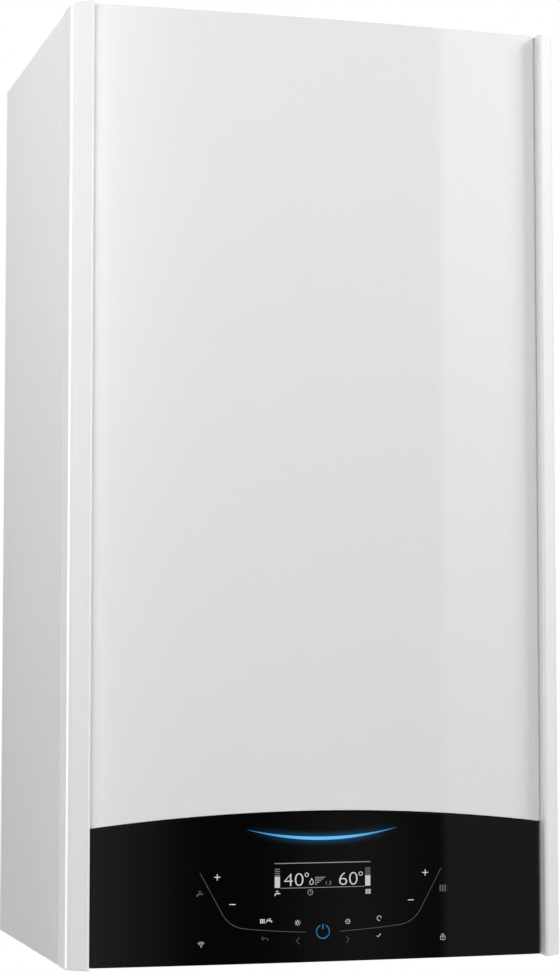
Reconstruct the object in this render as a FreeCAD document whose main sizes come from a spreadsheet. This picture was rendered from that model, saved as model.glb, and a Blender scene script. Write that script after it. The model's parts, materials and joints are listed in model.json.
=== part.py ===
import FreeCAD, Part
import math
import os
import re
import Sketcher

# Wall-hung condensing gas boiler. Millimetres, Z up, X to the right seen from the room,
# Y toward the wall. The wall is the plane Y = 0 and the origin lies on it, midway between
# the two hanging holes. Places are written as across (X), out (from the wall) and up (above
# the lower edge of the casing).

# Driving sizes, one cell each
SIZES = {
    # Casing
    "case_width": 400,
    "case_height": 745,
    "case_depth": 319,
    "hang_drop": 45,
    "sheet": 1,
    "frame_sheet": 1.5,
    "base_sheet": 1.2,
    "flange": 20,
    "bend": 2.5,
    # Fits
    "overrun": 2,
    "running_clearance": 0.05,
    "loose_clearance": 0.3,
    # Wall fixing
    "hang_spacing": 300,
    "hang_hole": 4.5,
    # Trim rails
    "rail_side": 30,
    "rail_rise": 13,
    "rail_face": 14.5,
    "rail_wall": 2,
    "rail_gap": 1,
    "rail_inset": 1,
    "rail_corner_radius": 12,
    "rail_crest_radius": 2,
    "rail_depth": 23,
    "rail_lip": 4.5,
    "rail_cap": 2,
    "lip_margin": 15,
    "foot_cap_level": 3,
    "foot_cap_inset": 1.5,
    "web_setback": 5,
    "web_thick": 3,
    "web_height": 12,
    # Casing pegs and screws
    "peg_inset": 7,
    "peg_drop": 25,
    "peg_radius": 2.5,
    "peg_collar_radius": 3.5,
    "peg_collar": 2,
    "peg_length": 11,
    "screw_inset": 9,
    "screw_radius": 2,
    "screw_head_radius": 3.6,
    "screw_head": 2.6,
    "screw_length": 9,
    # Front panel
    "panel_gap": 0.6,
    "panel_setback": 2.5,
    "bow_rise": 5.5,
    "panel_edge_radius": 4,
    "panel_skirt": 15,
    # Fascia
    "fascia_gap": 1,
    "fascia_wall": 3,
    "fascia_bottom": 1,
    "fascia_step": 4,
    "arch_low": 105,
    "arch_rise": 11.5,
    "seam_gap": 1,
    # Control box
    "box_gap": 2,
    "box_step": 2,
    "box_wall": 2,
    "box_bottom": 3,
    "box_drop": 5,
    "box_depth": 62,
    "box_top_depth": 22,
    "box_rear_top": 70,
    "rim_low": 25,
    "rim_thick": 2.5,
    "rim_reach": 5,
    # Control hinge
    "hinge_setback": 31,
    "hinge_up": 14,
    "pin_radius": 2.5,
    "pin_head_radius": 4,
    "pin_head": 2,
    "bracket_plate": 2,
    "bracket_nose": 8,
    "bracket_reach": 12,
    "bracket_foot": 20,
    "bracket_height": 21,
    "base_setback": 26,
    "tab_lift": 4.3,
    "tab_thick": 1.5,
    "tab_front": 5,
    "tab_back": 6,
    "tab_reach": 14,
    # Boards and lights
    "board_thick": 1.6,
    "touch_half": 112,
    "touch_low": 8,
    "touch_high": 96,
    "touch_post": 1.4,
    "main_half": 150,
    "main_low": 10,
    "main_high": 76,
    "main_post": 32,
    "post_radius": 3,
    "post_inset": 6,
    "glass_gap": 1.2,
    "display_half": 42,
    "display_low": 50,
    "display_high": 82,
    "crescent_half": 62,
    "crescent_tip": 104,
    "crescent_low": 95,
    "crescent_high": 97.2,
    "relay_size": 22,
    "relay_height": 16,
    # Sealed chamber
    "floor_level": 300,
    "lip_drop": 13,
    "gasket_inset": 12,
    "gasket_width": 7,
    "gasket_thick": 2,
    "gasket_margin": 4,
    "cover_margin": 0.5,
    "field_margin": 40,
    "field_depth": 3,
    "clip_across": 120,
    "clip_width": 20,
    "clip_thick": 2,
    "clip_height": 20,
    "clip_hook": 8,
    "grommet_wall": 4,
    "grommet_height": 7,
    # Flue collar and duct
    "flue_out": 140,
    "flue_radius": 30.25,
    "flue_wall": 1.25,
    "flue_height": 30,
    "air_radius": 50,
    "air_wall": 1.5,
    "air_height": 26,
    "collar_plate": 2,
    "collar_half": 75,
    "collar_reach": 66,
    "rib_thick": 3,
    "test_radius": 6,
    "test_height": 9,
    "test_inset": 12,
    "duct_drop": 10,
    "duct_step": 1,
    # Heat exchanger and burner
    "exchanger_across": -20,
    "exchanger_up": 540,
    "exchanger_radius": 110,
    "exchanger_wall": 3,
    "exchanger_back": 84,
    "exchanger_front": 199,
    "rim_radius": 118,
    "rim_depth": 6,
    "stub_rise": 10,
    "leg_thick": 3,
    "leg_spread": 60,
    "leg_back": 100,
    "leg_front": 150,
    "coil_gap": 7,
    "coil_depth": 28,
    "coil_length": 99,
    "groove_width": 4,
    "groove_depth": 12,
    "groove_count": 7,
    "port_radius": 11,
    "port_wall": 1.5,
    "port_out": 120,
    "port_reach": 15,
    "return_port_up": 500,
    "flow_port_up": 570,
    "drain_across": -60,
    "drain_out": 150,
    "drain_radius": 9,
    "drain_low": 415,
    "door_thick": 10,
    "manifold_left": -60,
    "manifold_right": 104,
    "manifold_low": 512,
    "manifold_high": 568,
    "manifold_depth": 41,
    "manifold_wall": 3,
    "burner_radius": 32,
    "burner_wall": 1,
    "burner_length": 90,
    "burner_flange": 45,
    "burner_flange_thick": 2,
    "insulation_gap": 2,
    "insulation_gap": 1,
    "insulation_thick": 9,
    "nut_radius": 5.5,
    "nut_thick": 5,
    "nut_circle": 112,
    "electrode_offset": 42,
    "electrode_radius": 4,
    "electrode_back": 12,
    "electrode_front": 26,
    "electrode_tip": 36,
    "wire_radius": 1.2,
    "electrode_flange": 9,
    "electrode_flange_thick": 3,
    # Fan and mixer
    "fan_across": 122,
    "fan_up": 640,
    "fan_radius": 60,
    "fan_rim": 4,
    "fan_wall": 3,
    "fan_back": 212,
    "fan_depth": 38,
    "fan_inlet": 28,
    "fan_shaft_hole": 6,
    "spout_width": 36,
    "spout_wall": 4,
    "spout_flange": 3,
    "impeller_clear": 9,
    "blade_reach": 16,
    "impeller_gap": 6,
    "impeller_disc": 3,
    "impeller_depth": 20,
    "impeller_ring": 2,
    "impeller_hub": 9,
    "blade_thick": 2,
    "blade_count": 14,
    "shaft_radius": 4,
    "fan_shaft": 20,
    "fan_motor_radius": 38,
    "fan_motor_depth": 24,
    "mixer_radius": 30,
    "mixer_bore": 22,
    "mixer_back": 140,
    "mixer_flange": 38,
    "mixer_flange_thick": 5,
    "mixer_stub": 10,
    "mixer_stub_low": 600,
    # Gas line
    "gas_out": 165,
    "gas_turn_up": 350,
    "gas_radius": 8,
    "pipe_wall": 1,
    "pipe_bend": 20,
    "valve_half": 32,
    "valve_back": 115,
    "valve_front": 190,
    "valve_low": 180,
    "valve_high": 262,
    "solenoid_radius": 14,
    "solenoid_reach": 24,
    "solenoid_spread": 16,
    "solenoid_rise": 25,
    # Expansion vessel
    "vessel_up": 520,
    "vessel_radius": 160,
    "vessel_depth": 74,
    "vessel_round": 26,
    "vessel_rim": 5,
    "vessel_rim_width": 6,
    "vessel_wall": 1.5,
    "vessel_pipe_across": 62,
    "vessel_pipe_out": 40,
    "vessel_pipe_radius": 5,
    "vessel_pipe_up": 150,
    "vessel_pipe_front": 110,
    "vessel_port": 7,
    "vessel_port_drop": 8,
    # Hydraulic blocks
    "block_inner": 48,
    "block_outer": 180,
    "block_back": 95,
    "block_front": 160,
    "block_low": 30,
    "block_high": 120,
    "plate_back": 22,
    "plate_half": 105,
    "plate_low": 45,
    "plate_high": 125,
    "plate_count": 12,
    "plate_step_share": 0.62,
    "plate_edge": 2.5,
    "plate_skin": 3,
    "plate_port": 8,
    "plate_port_across": 75,
    "flow_pipe_across": -165,
    # Pump
    "pump_across": 128,
    "pump_up": 195,
    "pump_radius": 46,
    "pump_back": 100,
    "pump_depth": 44,
    "pump_wall": 5,
    "pump_neck": 20,
    "pump_port": 16,
    "pump_port_up": 262,
    "pump_motor_radius": 40,
    "pump_motor_depth": 70,
    "pump_motor_cap": 9,
    "rotor_radius": 34,
    "rotor_gap": 6,
    "rotor_depth": 22,
    "rotor_shaft": 60,
    "vent_across": 158,
    "vent_boss_radius": 12,
    "vent_boss_up": 246,
    "vent_radius": 11,
    "vent_height": 22,
    "vent_cap_radius": 6,
    "vent_cap": 8,
    # Diverter valve
    "diverter_across": -100,
    "diverter_out": 128,
    "diverter_radius": 20,
    "diverter_height": 55,
    "diverter_seat_radius": 9,
    "diverter_seat_depth": 36,
    "diverter_disc_radius": 8,
    "diverter_disc": 4,
    "diverter_disc_lift": 8,
    "diverter_stroke": 7,
    "spindle_radius": 3,
    "spindle_length": 44,
    # Condensate trap
    "trap_across": -100,
    "trap_out": 190,
    "trap_radius": 24,
    "trap_low": 20,
    "trap_high": 150,
    "trap_foot": 15,
    "trap_outlet": 10,
    "trap_drop": 12,
    "trap_neck": 12,
    "trap_neck_rise": 12,
    "hose_wall": 2,
    "hose_turn_up": 260,
    "hose_end_up": 200,
    # Relief and filling
    "relief_across": 150,
    "relief_up": 75,
    "relief_radius": 13,
    "relief_reach": 28,
    "relief_outlet": 7,
    "relief_outlet_reach": 14,
    "relief_drop": 12,
    "relief_knob_radius": 15,
    "relief_knob_depth": 16,
    "relief_knob_gap": 1.5,
    "knob_spindle": 18,
    "knob_notch": 3,
    "knob_notch_count": 8,
    "filling_across": 95,
    "filling_out": 172,
    "filling_half": 12,
    "filling_high": 50,
    "filling_knob_radius": 14,
    "filling_knob_depth": 11,
    "filling_knob_gap": 2,
    "filling_spindle": 43,
    # Connections
    "tail_out": 130,
    "tail_spacing": 65,
    "tail_drop": 18,
    "water_tail_radius": 13.22,
    "tap_tail_radius": 10.48,
    "tail_wall": 2.8,
    "tail_collar": 4,
    "tail_collar_height": 8,
    "tail_shoulder": 0.8,
    "gland_across": 165,
    "gland_out": 60,
    "gland_radius": 8,
    "gland_bore": 4,
    "gland_head": 11,
    "gland_drop": 14,
    "gland_rise": 10,
    "gland_nut_rise": 5,
}

# Places that follow from the sizes
PLACES = {
    "case_bottom": "hang_drop - case_height",
    "half_width": "case_width/2",
    "inner_half": "half_width - sheet",
    "flange_inner": "half_width - flange",
    "rail_slope": "rail_rise/rail_face",
    "rail_stretch": "sqrt(1 + rail_slope*rail_slope)",
    "rail_tip": "case_depth + rail_crest_radius*(rail_slope + rail_stretch - 1)",
    "rail_corner": "rail_tip - rail_rise",
    "rail_back": "rail_corner - rail_side",
    "side_front": "rail_back - rail_gap",
    "rail_half": "half_width - rail_inset",
    "rail_inner": "rail_half - rail_face",
    "rail_seat": "case_depth - rail_depth",
    "rail_skin": "rail_wall*rail_stretch",
    "lip_inner": "rail_inner - rail_lip",
    "peg_across": "half_width - peg_inset",
    "peg_up": "case_height - peg_drop",
    "screw_across": "half_width - screw_inset",
    "panel_half": "rail_inner - panel_gap",
    "panel_crest": "case_depth - panel_setback",
    "panel_edge": "panel_crest - bow_rise",
    "fascia_half": "rail_inner - fascia_gap",
    "fascia_back": "rail_seat + fascia_step",
    "arch_radius": "(fascia_half*fascia_half + arch_rise*arch_rise)/(2*arch_rise)",
    "arch_top": "arch_low + arch_rise",
    "arch_centre": "arch_top - arch_radius",
    "arch_side": "arch_centre + sqrt(arch_radius*arch_radius - half_width*half_width)",
    "seam_radius": "arch_radius + seam_gap",
    "seam_side": "arch_centre + sqrt(seam_radius*seam_radius - half_width*half_width)",
    "lip_low": "arch_top + lip_margin",
    "hinge_out": "case_depth - hinge_setback",
    "base_front": "hinge_out - base_setback",
    "box_half": "lip_inner - box_gap",
    "box_front": "fascia_back - box_step",
    "box_top": "arch_low - box_drop",
    "box_rear": "box_front - box_depth",
    "box_shoulder": "box_front - box_top_depth",
    "box_inner": "box_front - box_wall",
    "box_cover_back": "box_rear - box_wall",
    "bracket_outer": "lip_inner + bracket_plate",
    "bracket_back": "base_front - bracket_reach",
    "tab_low": "base_sheet + tab_lift",
    "touch_back": "box_front + touch_post",
    "touch_front": "touch_back + board_thick",
    "main_front": "box_inner - main_post",
    "glass_back": "panel_crest - fascia_wall - glass_gap",
    "back_flange": "frame_sheet + sheet",
    "plate_edge_out": "side_front - bend",
    "floor_top": "floor_level + sheet",
    "gasket_half": "half_width - gasket_inset",
    "gasket_front": "side_front + gasket_thick",
    "gasket_low": "floor_top - lip_drop + gasket_margin/2",
    "gasket_high": "case_height - gasket_margin",
    "cover_half": "gasket_half + cover_margin",
    "cover_front": "gasket_front + sheet",
    "cover_low": "gasket_low - cover_margin",
    "cover_high": "gasket_high + cover_margin",
    "clip_low": "floor_top - lip_drop - clip_thick",
    "flue_tube": "flue_radius + flue_wall",
    "duct_top": "case_height - duct_drop",
    "stub_top": "exchanger_up + exchanger_radius + stub_rise",
    "shell_inner": "exchanger_radius - exchanger_wall",
    "coil_back": "exchanger_back + exchanger_wall",
    "coil_outer": "exchanger_radius - exchanger_wall - coil_gap",
    "coil_inner": "coil_outer - coil_depth",
    "insulation_radius": "coil_inner - insulation_gap",
    "flow_port_end": "exchanger_across - exchanger_radius - port_reach",
    "return_port_end": "exchanger_across + exchanger_radius + port_reach",
    "door_front": "exchanger_front + door_thick",
    "manifold_front": "door_front + manifold_depth",
    "electrode_across": "exchanger_across - electrode_offset",
    "electrode_up": "exchanger_up - electrode_offset",
    "fan_front": "fan_back + fan_depth",
    "fan_left": "fan_across - fan_radius",
    "spout_right": "fan_left + spout_width",
    "impeller_radius": "fan_radius - fan_wall - impeller_clear",
    "impeller_eye": "impeller_radius - blade_reach",
    "impeller_front": "fan_front - fan_wall - impeller_gap",
    "impeller_back": "impeller_front - impeller_depth",
    "fan_motor_front": "fan_front + fan_motor_depth",
    "vessel_front": "frame_sheet + vessel_depth",
    "vessel_reach": "vessel_radius*vessel_radius - vessel_pipe_across*vessel_pipe_across",
    "vessel_bottom": "vessel_up - sqrt(vessel_reach)",
    "vessel_port_low": "vessel_bottom - vessel_port_drop",
    "pump_front": "pump_back + pump_depth",
    "pump_motor_front": "pump_front + pump_motor_depth",
    "rotor_back": "pump_back + pump_wall + rotor_gap",
    "rotor_front": "rotor_back + rotor_depth",
    "diverter_seat": "block_high - diverter_seat_depth",
    "diverter_disc_low": "diverter_seat + diverter_disc_lift",
    "relief_front": "block_front + relief_reach",
    "relief_knob_back": "relief_front + relief_knob_gap",
    "relief_outlet_out": "block_front + relief_outlet_reach",
    "filling_knob_top": "0 - filling_knob_gap",
    "filling_front": "filling_out + filling_half",
    "trap_neck_top": "trap_high + trap_neck_rise",
}

FUNCTIONS = ("sqrt",)
WORD = re.compile(r"[a-z_]+")
SIDES = {"left": "-1", "right": "1"}

doc = FreeCAD.newDocument("gas_boiler")
sheet = doc.addObject("Spreadsheet::Sheet", "Sizes")
for row, (size_name, size_value) in enumerate(SIZES.items(), 1):
    sheet.set(f"A{row}", size_name)
    sheet.set(f"B{row}", str(size_value))
    sheet.setAlias(f"B{row}", size_name)
doc.recompute()
pieces = []


# Helpers for sizes and placing
def formula(text):
    """The text with each size as a cell of the sheet and each place worked out in full."""
    def swap(match):
        word = match.group()
        if word in PLACES:
            return f"({formula(PLACES[word])})"
        if word in SIZES:
            return f"Sizes.{word}"
        if word in FUNCTIONS:
            return word
        raise KeyError(word)
    return WORD.sub(swap, str(text))


def value(text):
    """The number that a formula comes to."""
    return float(sheet.evalExpression(formula(text)))


def count(name):
    """A counted size as a whole number."""
    return int(round(value(name)))


def bind(item, **rules):
    """Tie properties of an object to cells of the sheet."""
    for name, rule in rules.items():
        item.setExpression(name, formula(rule))


def place(item, across, out, up, turn=None):
    """Put an object's own origin at a place, turned as asked."""
    if turn is not None:
        item.Placement = FreeCAD.Placement(FreeCAD.Vector(), turn)
    item.setExpression("Placement.Base.x", formula(across))
    item.setExpression("Placement.Base.y", formula(f"0 - ({out})"))
    item.setExpression("Placement.Base.z", formula(f"({up}) + case_bottom"))
    return item


def both(half):
    """A span from minus to plus the same length."""
    return (f"0 - ({half})", half)


def about(middle, half):
    """A span of a half length to each side of a middle."""
    return (f"({middle}) - ({half})", f"({middle}) + ({half})")


def turned(axis, degrees):
    """A rotation about one axis of the frame."""
    return FreeCAD.Rotation(FreeCAD.Vector(*axis), degrees)


TURNS = {
    "up": FreeCAD.Rotation(),
    "out": turned((1, 0, 0), 90),
    "across": turned((0, 1, 0), 90),
}


# Helpers for solids
def block(name, across, out, up):
    """A box between two places along each direction."""
    item = doc.addObject("Part::Box", name)
    bind(item, Length=f"({across[1]}) - ({across[0]})")
    bind(item, Width=f"({out[1]}) - ({out[0]})")
    bind(item, Height=f"({up[1]}) - ({up[0]})")
    return place(item, across[0], out[1], up[0])


def start_of(along, span, centre):
    """The place where a round solid begins, as across, out and up."""
    if along == "up":
        return (centre[0], centre[1], span[0])
    if along == "out":
        return (centre[0], span[0], centre[1])
    return (span[0], centre[0], centre[1])


def rod(name, radius, along, span, centre):
    """A cylinder along one direction; centre holds the other two places."""
    item = doc.addObject("Part::Cylinder", name)
    bind(item, Radius=radius, Height=f"({span[1]}) - ({span[0]})")
    return place(item, *start_of(along, span, centre), TURNS[along])


def cone(name, radii, along, span, centre):
    """A cone frustum along one direction."""
    item = doc.addObject("Part::Cone", name)
    bind(item, Radius1=radii[0], Radius2=radii[1], Height=f"({span[1]}) - ({span[0]})")
    return place(item, *start_of(along, span, centre), TURNS[along])


def hexagon(name, radius, along, span, centre):
    """A six-sided prism along one direction."""
    item = doc.addObject("Part::Prism", name)
    bind(item, Circumradius=radius, Height=f"({span[1]}) - ({span[0]})")
    return place(item, *start_of(along, span, centre), TURNS[along])


def join(name, *shapes):
    """Several solids made one."""
    item = doc.addObject("Part::MultiFuse", name)
    item.Shapes = list(shapes)
    item.Refine = True
    return item


def cut(name, base, *tools):
    """A solid less one or more others."""
    item = doc.addObject("Part::Cut", name)
    item.Base = base
    item.Tool = tools[0] if len(tools) == 1 else join(f"{name}_tools", *tools)
    return item


def together(name, *shapes):
    """Separate solids kept as one sub-part."""
    item = doc.addObject("Part::Compound", name)
    item.Links = list(shapes)
    return item


def sleeve(name, radius, bore, along, span, centre):
    """A round tube along one direction."""
    outer = rod(f"{name}_outer", radius, along, span, centre)
    longer = (f"({span[0]}) - overrun", f"({span[1]}) + overrun")
    inner = rod(f"{name}_bore", bore, along, longer, centre)
    return cut(name, outer, inner)


def keep(label, item):
    """Name a finished sub-part and list it for writing."""
    item.Label = label
    pieces.append(item)


# Helpers for sketched solids
PLANES = {"plan": "XY_Plane", "front": "XZ_Plane", "side": "YZ_Plane"}


def on_plane(plane, corner):
    """A corner's two places as formulas in the plane's own directions."""
    if plane == "plan":
        return (corner[0], f"0 - ({corner[1]})")
    if plane == "front":
        return (corner[0], f"({corner[1]}) + case_bottom")
    return (f"0 - ({corner[0]})", f"({corner[1]}) + case_bottom")


def offset_on(plane, start):
    """How far along the plane's normal a solid begins."""
    return f"({start}) + case_bottom" if plane == "plan" else start


def flat(plane, corner):
    """A corner as a point in the plane."""
    first, second = on_plane(plane, corner)
    return FreeCAD.Vector(value(first), value(second), 0)


def arc_between(first, last, through):
    """An arc of a circle and which of its two ends the first point is."""
    circle = Part.Circle(first, through, last)
    centre = circle.Center
    forward = (through - first).cross(last - first).z > 0
    begin, end = (first, last) if forward else (last, first)
    angles = [math.atan2(p.y - centre.y, p.x - centre.x) for p in (begin, end)]
    axis = FreeCAD.Vector(0, 0, 1)
    arc = Part.ArcOfCircle(Part.Circle(centre, axis, circle.Radius), *angles)
    return arc, (1, 2) if forward else (2, 1)


def rounding(before, corner, after, radius):
    """Where a rounded corner leaves its two sides, and the middle of its arc."""
    back = (before - corner).normalize()
    ahead = (after - corner).normalize()
    half_angle = back.getAngle(ahead) / 2
    reach = radius / math.tan(half_angle)
    inward = (back + ahead).normalize()
    middle = corner + inward * (radius / math.sin(half_angle) - radius)
    return corner + back * reach, middle, corner + ahead * reach


def rule(sketch, kind, *targets, text=None):
    """One constraint, tied to the sheet where a formula is given."""
    if text is None:
        sketch.addConstraint(Sketcher.Constraint(kind, *targets))
        return
    index = sketch.addConstraint(Sketcher.Constraint(kind, *targets, value(text)))
    sketch.setExpression(f"Constraints[{index}]", formula(text))


def sketch_on(body, name, plane, corners, start, bows=None):
    """A closed outline; a corner may carry a radius, and a side may bow through a point."""
    bows = bows or {}
    sketch = body.newObject("Sketcher::SketchObject", name)
    support = [item for item in body.Origin.OriginFeatures if item.Role == PLANES[plane]][0]
    sketch.AttachmentSupport = [(support, "")]
    sketch.MapMode = "FlatFace"
    sketch.setExpression("AttachmentOffset.Base.z", formula(offset_on(plane, start)))
    points = [flat(plane, corner) for corner in corners]
    total = len(points)
    marks = []
    rounds = {}
    for index, corner in enumerate(corners):
        mark = sketch.addGeometry(Part.Point(points[index]), True)
        first, second = on_plane(plane, corner)
        rule(sketch, "DistanceX", -1, 1, mark, 1, text=first)
        rule(sketch, "DistanceY", -1, 1, mark, 1, text=second)
        marks.append(mark)
        if len(corner) > 2:
            before, after = points[index - 1], points[(index + 1) % total]
            rounds[index] = rounding(before, points[index], after, value(corner[2]))
    sides = []
    for index in range(total):
        following = (index + 1) % total
        begin = rounds[index][2] if index in rounds else points[index]
        end = rounds[following][0] if following in rounds else points[following]
        if index in bows:
            through, radius = bows[index]
            arc, ends = arc_between(begin, end, flat(plane, through))
            side = sketch.addGeometry(arc)
            rule(sketch, "Radius", side, text=radius)
        else:
            side = sketch.addGeometry(Part.LineSegment(begin, end))
            ends = (1, 2)
        sides.append((side, ends))
    for index, corner in enumerate(corners):
        before, before_ends = sides[index - 1]
        after, after_ends = sides[index]
        if index not in rounds:
            rule(sketch, "Coincident", before, before_ends[1], marks[index], 1)
            rule(sketch, "Coincident", after, after_ends[0], marks[index], 1)
            continue
        first, middle, last = rounds[index]
        arc, ends = arc_between(first, last, middle)
        corner_arc = sketch.addGeometry(arc)
        rule(sketch, "PointOnObject", marks[index], 1, before)
        rule(sketch, "PointOnObject", marks[index], 1, after)
        rule(sketch, "Tangent", before, before_ends[1], corner_arc, ends[0])
        rule(sketch, "Tangent", corner_arc, ends[1], after, after_ends[0])
        rule(sketch, "Radius", corner_arc, text=corner[2])
    return sketch


def new_body(name):
    """An empty body at the frame's origin."""
    return doc.addObject("PartDesign::Body", name)


def pad(body, name, plane, corners, span, bows=None):
    """An outline raised between two places along its plane's normal."""
    sketch = sketch_on(body, f"{name}_outline", plane, corners, span[0], bows)
    item = body.newObject("PartDesign::Pad", name)
    item.Profile = sketch
    bind(item, Length=f"({span[1]}) - ({span[0]})")
    doc.recompute()
    return item


def pocket(body, name, plane, corners, bows=None):
    """An outline cut right through the body."""
    sketch = sketch_on(body, f"{name}_outline", plane, corners, "0", bows)
    item = body.newObject("PartDesign::Pocket", name)
    item.Profile = sketch
    item.Type = "ThroughAll"
    item.Midplane = True
    doc.recompute()
    return item


def round_edges(body, name, feature, chosen, radius):
    """Edges picked by a test, rounded."""
    edges = enumerate(feature.Shape.Edges, 1)
    names = [f"Edge{index}" for index, edge in edges if chosen(edge)]
    item = body.newObject("PartDesign::Fillet", name)
    item.Base = (feature, names)
    bind(item, Radius=radius)
    doc.recompute()
    return item


def hollow(body, name, feature, open_faces, wall):
    """The feature hollowed inward to a wall, with the faces picked by a test left open."""
    faces = enumerate(feature.Shape.Faces, 1)
    names = [f"Face{index}" for index, face in faces if open_faces(face)]
    item = body.newObject("PartDesign::Thickness", name)
    item.Base = (feature, names)
    item.Reversed = True
    bind(item, Value=wall)
    doc.recompute()
    return item


def faces_at(direction, *places):
    """A test for flat faces square to a direction at one of some places along it."""
    axis = FreeCAD.Vector(*direction)

    def test(face):
        spot = face.CenterOfMass
        along = abs(face.normalAt(0, 0).dot(axis)) > math.cos(math.radians(1))
        return along and any(abs(spot.dot(axis) - p) < value("sheet") / 4 for p in places)
    return test


def pipe(name, route, radius, wall, bend="pipe_bend"):
    """A round tube along straight runs joined by bends, as one solid."""
    points = []
    for across, out, up in route:
        height = value(f"({up}) + case_bottom")
        points.append(FreeCAD.Vector(value(across), -value(out), height))
    edges = []
    begin = points[0]
    for before, corner, after in zip(points, points[1:], points[2:]):
        first, middle, last = rounding(before, corner, after, value(bend))
        edges.append(Part.LineSegment(begin, first).toShape())
        edges.append(Part.Arc(first, middle, last).toShape())
        begin = last
    edges.append(Part.LineSegment(begin, points[-1]).toShape())
    path = Part.Wire(edges)
    solids = []
    for size in (radius, f"({radius}) - ({wall})"):
        ring = Part.makeCircle(value(size), points[0], points[1] - points[0])
        solids.append(path.makePipeShell([Part.Wire(ring)], True, False))
    item = doc.addObject("Part::Feature", name)
    item.Shape = solids[0].cut(solids[1])
    return item


# Casing
def back_frame():
    plate = block("back_plate", both("inner_half"), ("0", "frame_sheet"), ("0", "case_height"))
    through = ("0 - overrun", "frame_sheet + overrun")
    hang_up = "case_height - hang_drop"
    holes = []
    for side, sign in SIDES.items():
        centre = (f"{sign}*hang_spacing/2", hang_up)
        holes.append(rod(f"hang_hole_{side}", "hang_hole", "out", through, centre))
    keep("back_frame", cut("back_frame", plate, *holes))


def side_panels():
    for side, sign in SIDES.items():
        outline = [
            ("half_width", "0"),
            ("half_width", "side_front", "bend"),
            ("flange_inner", "side_front"),
            ("flange_inner", "side_front - sheet"),
            ("inner_half", "side_front - sheet", "bend - sheet"),
            ("inner_half", "back_flange"),
            ("flange_inner", "back_flange"),
            ("flange_inner", "frame_sheet"),
            ("inner_half", "frame_sheet"),
            ("inner_half", "0"),
        ]
        body = new_body(f"side_sheet_{side}")
        corners = [(f"{sign}*({c[0]})", *c[1:]) for c in outline]
        pad(body, f"side_fold_{side}", "plan", corners, ("0", "case_height"))
        ends = (f"{sign}*(flange_inner - overrun)", f"{sign}*(fascia_half + loose_clearance)")
        across = ends if sign == "1" else ends[::-1]
        out = ("side_front - sheet - overrun", "side_front + overrun")
        notch_up = ("0 - overrun", "base_sheet + bracket_height + overrun")
        notch = block(f"side_notch_{side}", across, out, notch_up)
        keep(f"side_panel_{side}", cut(f"side_panel_{side}", body, notch))


def top_plate():
    level = ("case_height - sheet", "case_height")
    deck = block("top_deck", both("inner_half"), ("back_flange", "plate_edge_out"), level)
    front = block("top_front", both("flange_inner"), ("flange", "side_front"), level)
    lip_up = ("case_height - lip_drop", "case_height")
    lip = block("top_lip", both("flange_inner"), ("side_front - sheet", "side_front"), lip_up)
    through = ("case_height - sheet - overrun", "case_height + overrun")
    hole = rod("flue_hole", "air_radius + loose_clearance", "up", through, ("0", "flue_out"))
    keep("top_plate", cut("top_plate", join("top_sheet", deck, front, lip), hole))


def base_holes():
    """Each hole in the bottom plate as a radius and a place."""
    holes = [(f"tail_{word}", radius, (across, "tail_out")) for word, radius, across in TAILS]
    holes.append(("gas", "water_tail_radius", ("0", "tail_out")))
    holes.append(("trap", "trap_outlet", ("trap_across", "trap_out")))
    holes.append(("relief", "relief_outlet", ("relief_across", "relief_outlet_out")))
    holes.append(("filling", "spindle_radius", ("filling_across", "filling_out")))
    holes.append(("gland", "gland_radius", ("gland_across", "gland_out")))
    return holes


TAILS = (
    ("flow", "water_tail_radius", "0 - 2*tail_spacing"),
    ("hot_water", "tap_tail_radius", "0 - tail_spacing"),
    ("cold_water", "tap_tail_radius", "tail_spacing"),
    ("return", "water_tail_radius", "2*tail_spacing"),
)


def bottom_plate():
    plate = block("base_deck", both("inner_half"), ("back_flange", "base_front"), ("0", "base_sheet"))
    through = ("0 - overrun", "base_sheet + overrun")
    tools = []
    for word, radius, centre in base_holes():
        wide = f"{radius} + tail_shoulder + loose_clearance"
        tools.append(rod(f"base_hole_{word}", wide, "up", through, centre))
    keep("bottom_plate", cut("bottom_plate", plate, *tools))


FLOOR_PIPES = (
    ("flow", "port_radius", "flow_pipe_across", "port_out"),
    ("return", "port_radius", "pump_across", "port_out"),
    ("gas", "gas_radius", "0", "gas_out"),
    ("drain", "drain_radius", "drain_across", "drain_out"),
    ("vessel", "vessel_pipe_radius", "vessel_pipe_across", "vessel_pipe_out"),
)


def chamber_floor():
    level = ("floor_level", "floor_top")
    deck = block("floor_deck", both("inner_half"), ("back_flange", "plate_edge_out"), level)
    front = block("floor_front", both("flange_inner"), ("flange", "side_front"), level)
    lip_up = ("floor_top - lip_drop", "floor_top")
    lip = block("floor_lip", both("flange_inner"), ("side_front - sheet", "side_front"), lip_up)
    through = ("floor_level - overrun", "floor_top + overrun")
    tools = []
    for word, radius, across, out in FLOOR_PIPES:
        wide = f"{radius} + grommet_wall/2"
        tools.append(rod(f"floor_hole_{word}", wide, "up", through, (across, out)))
    keep("chamber_floor", cut("chamber_floor", join("floor_sheet", deck, front, lip), *tools))


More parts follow.
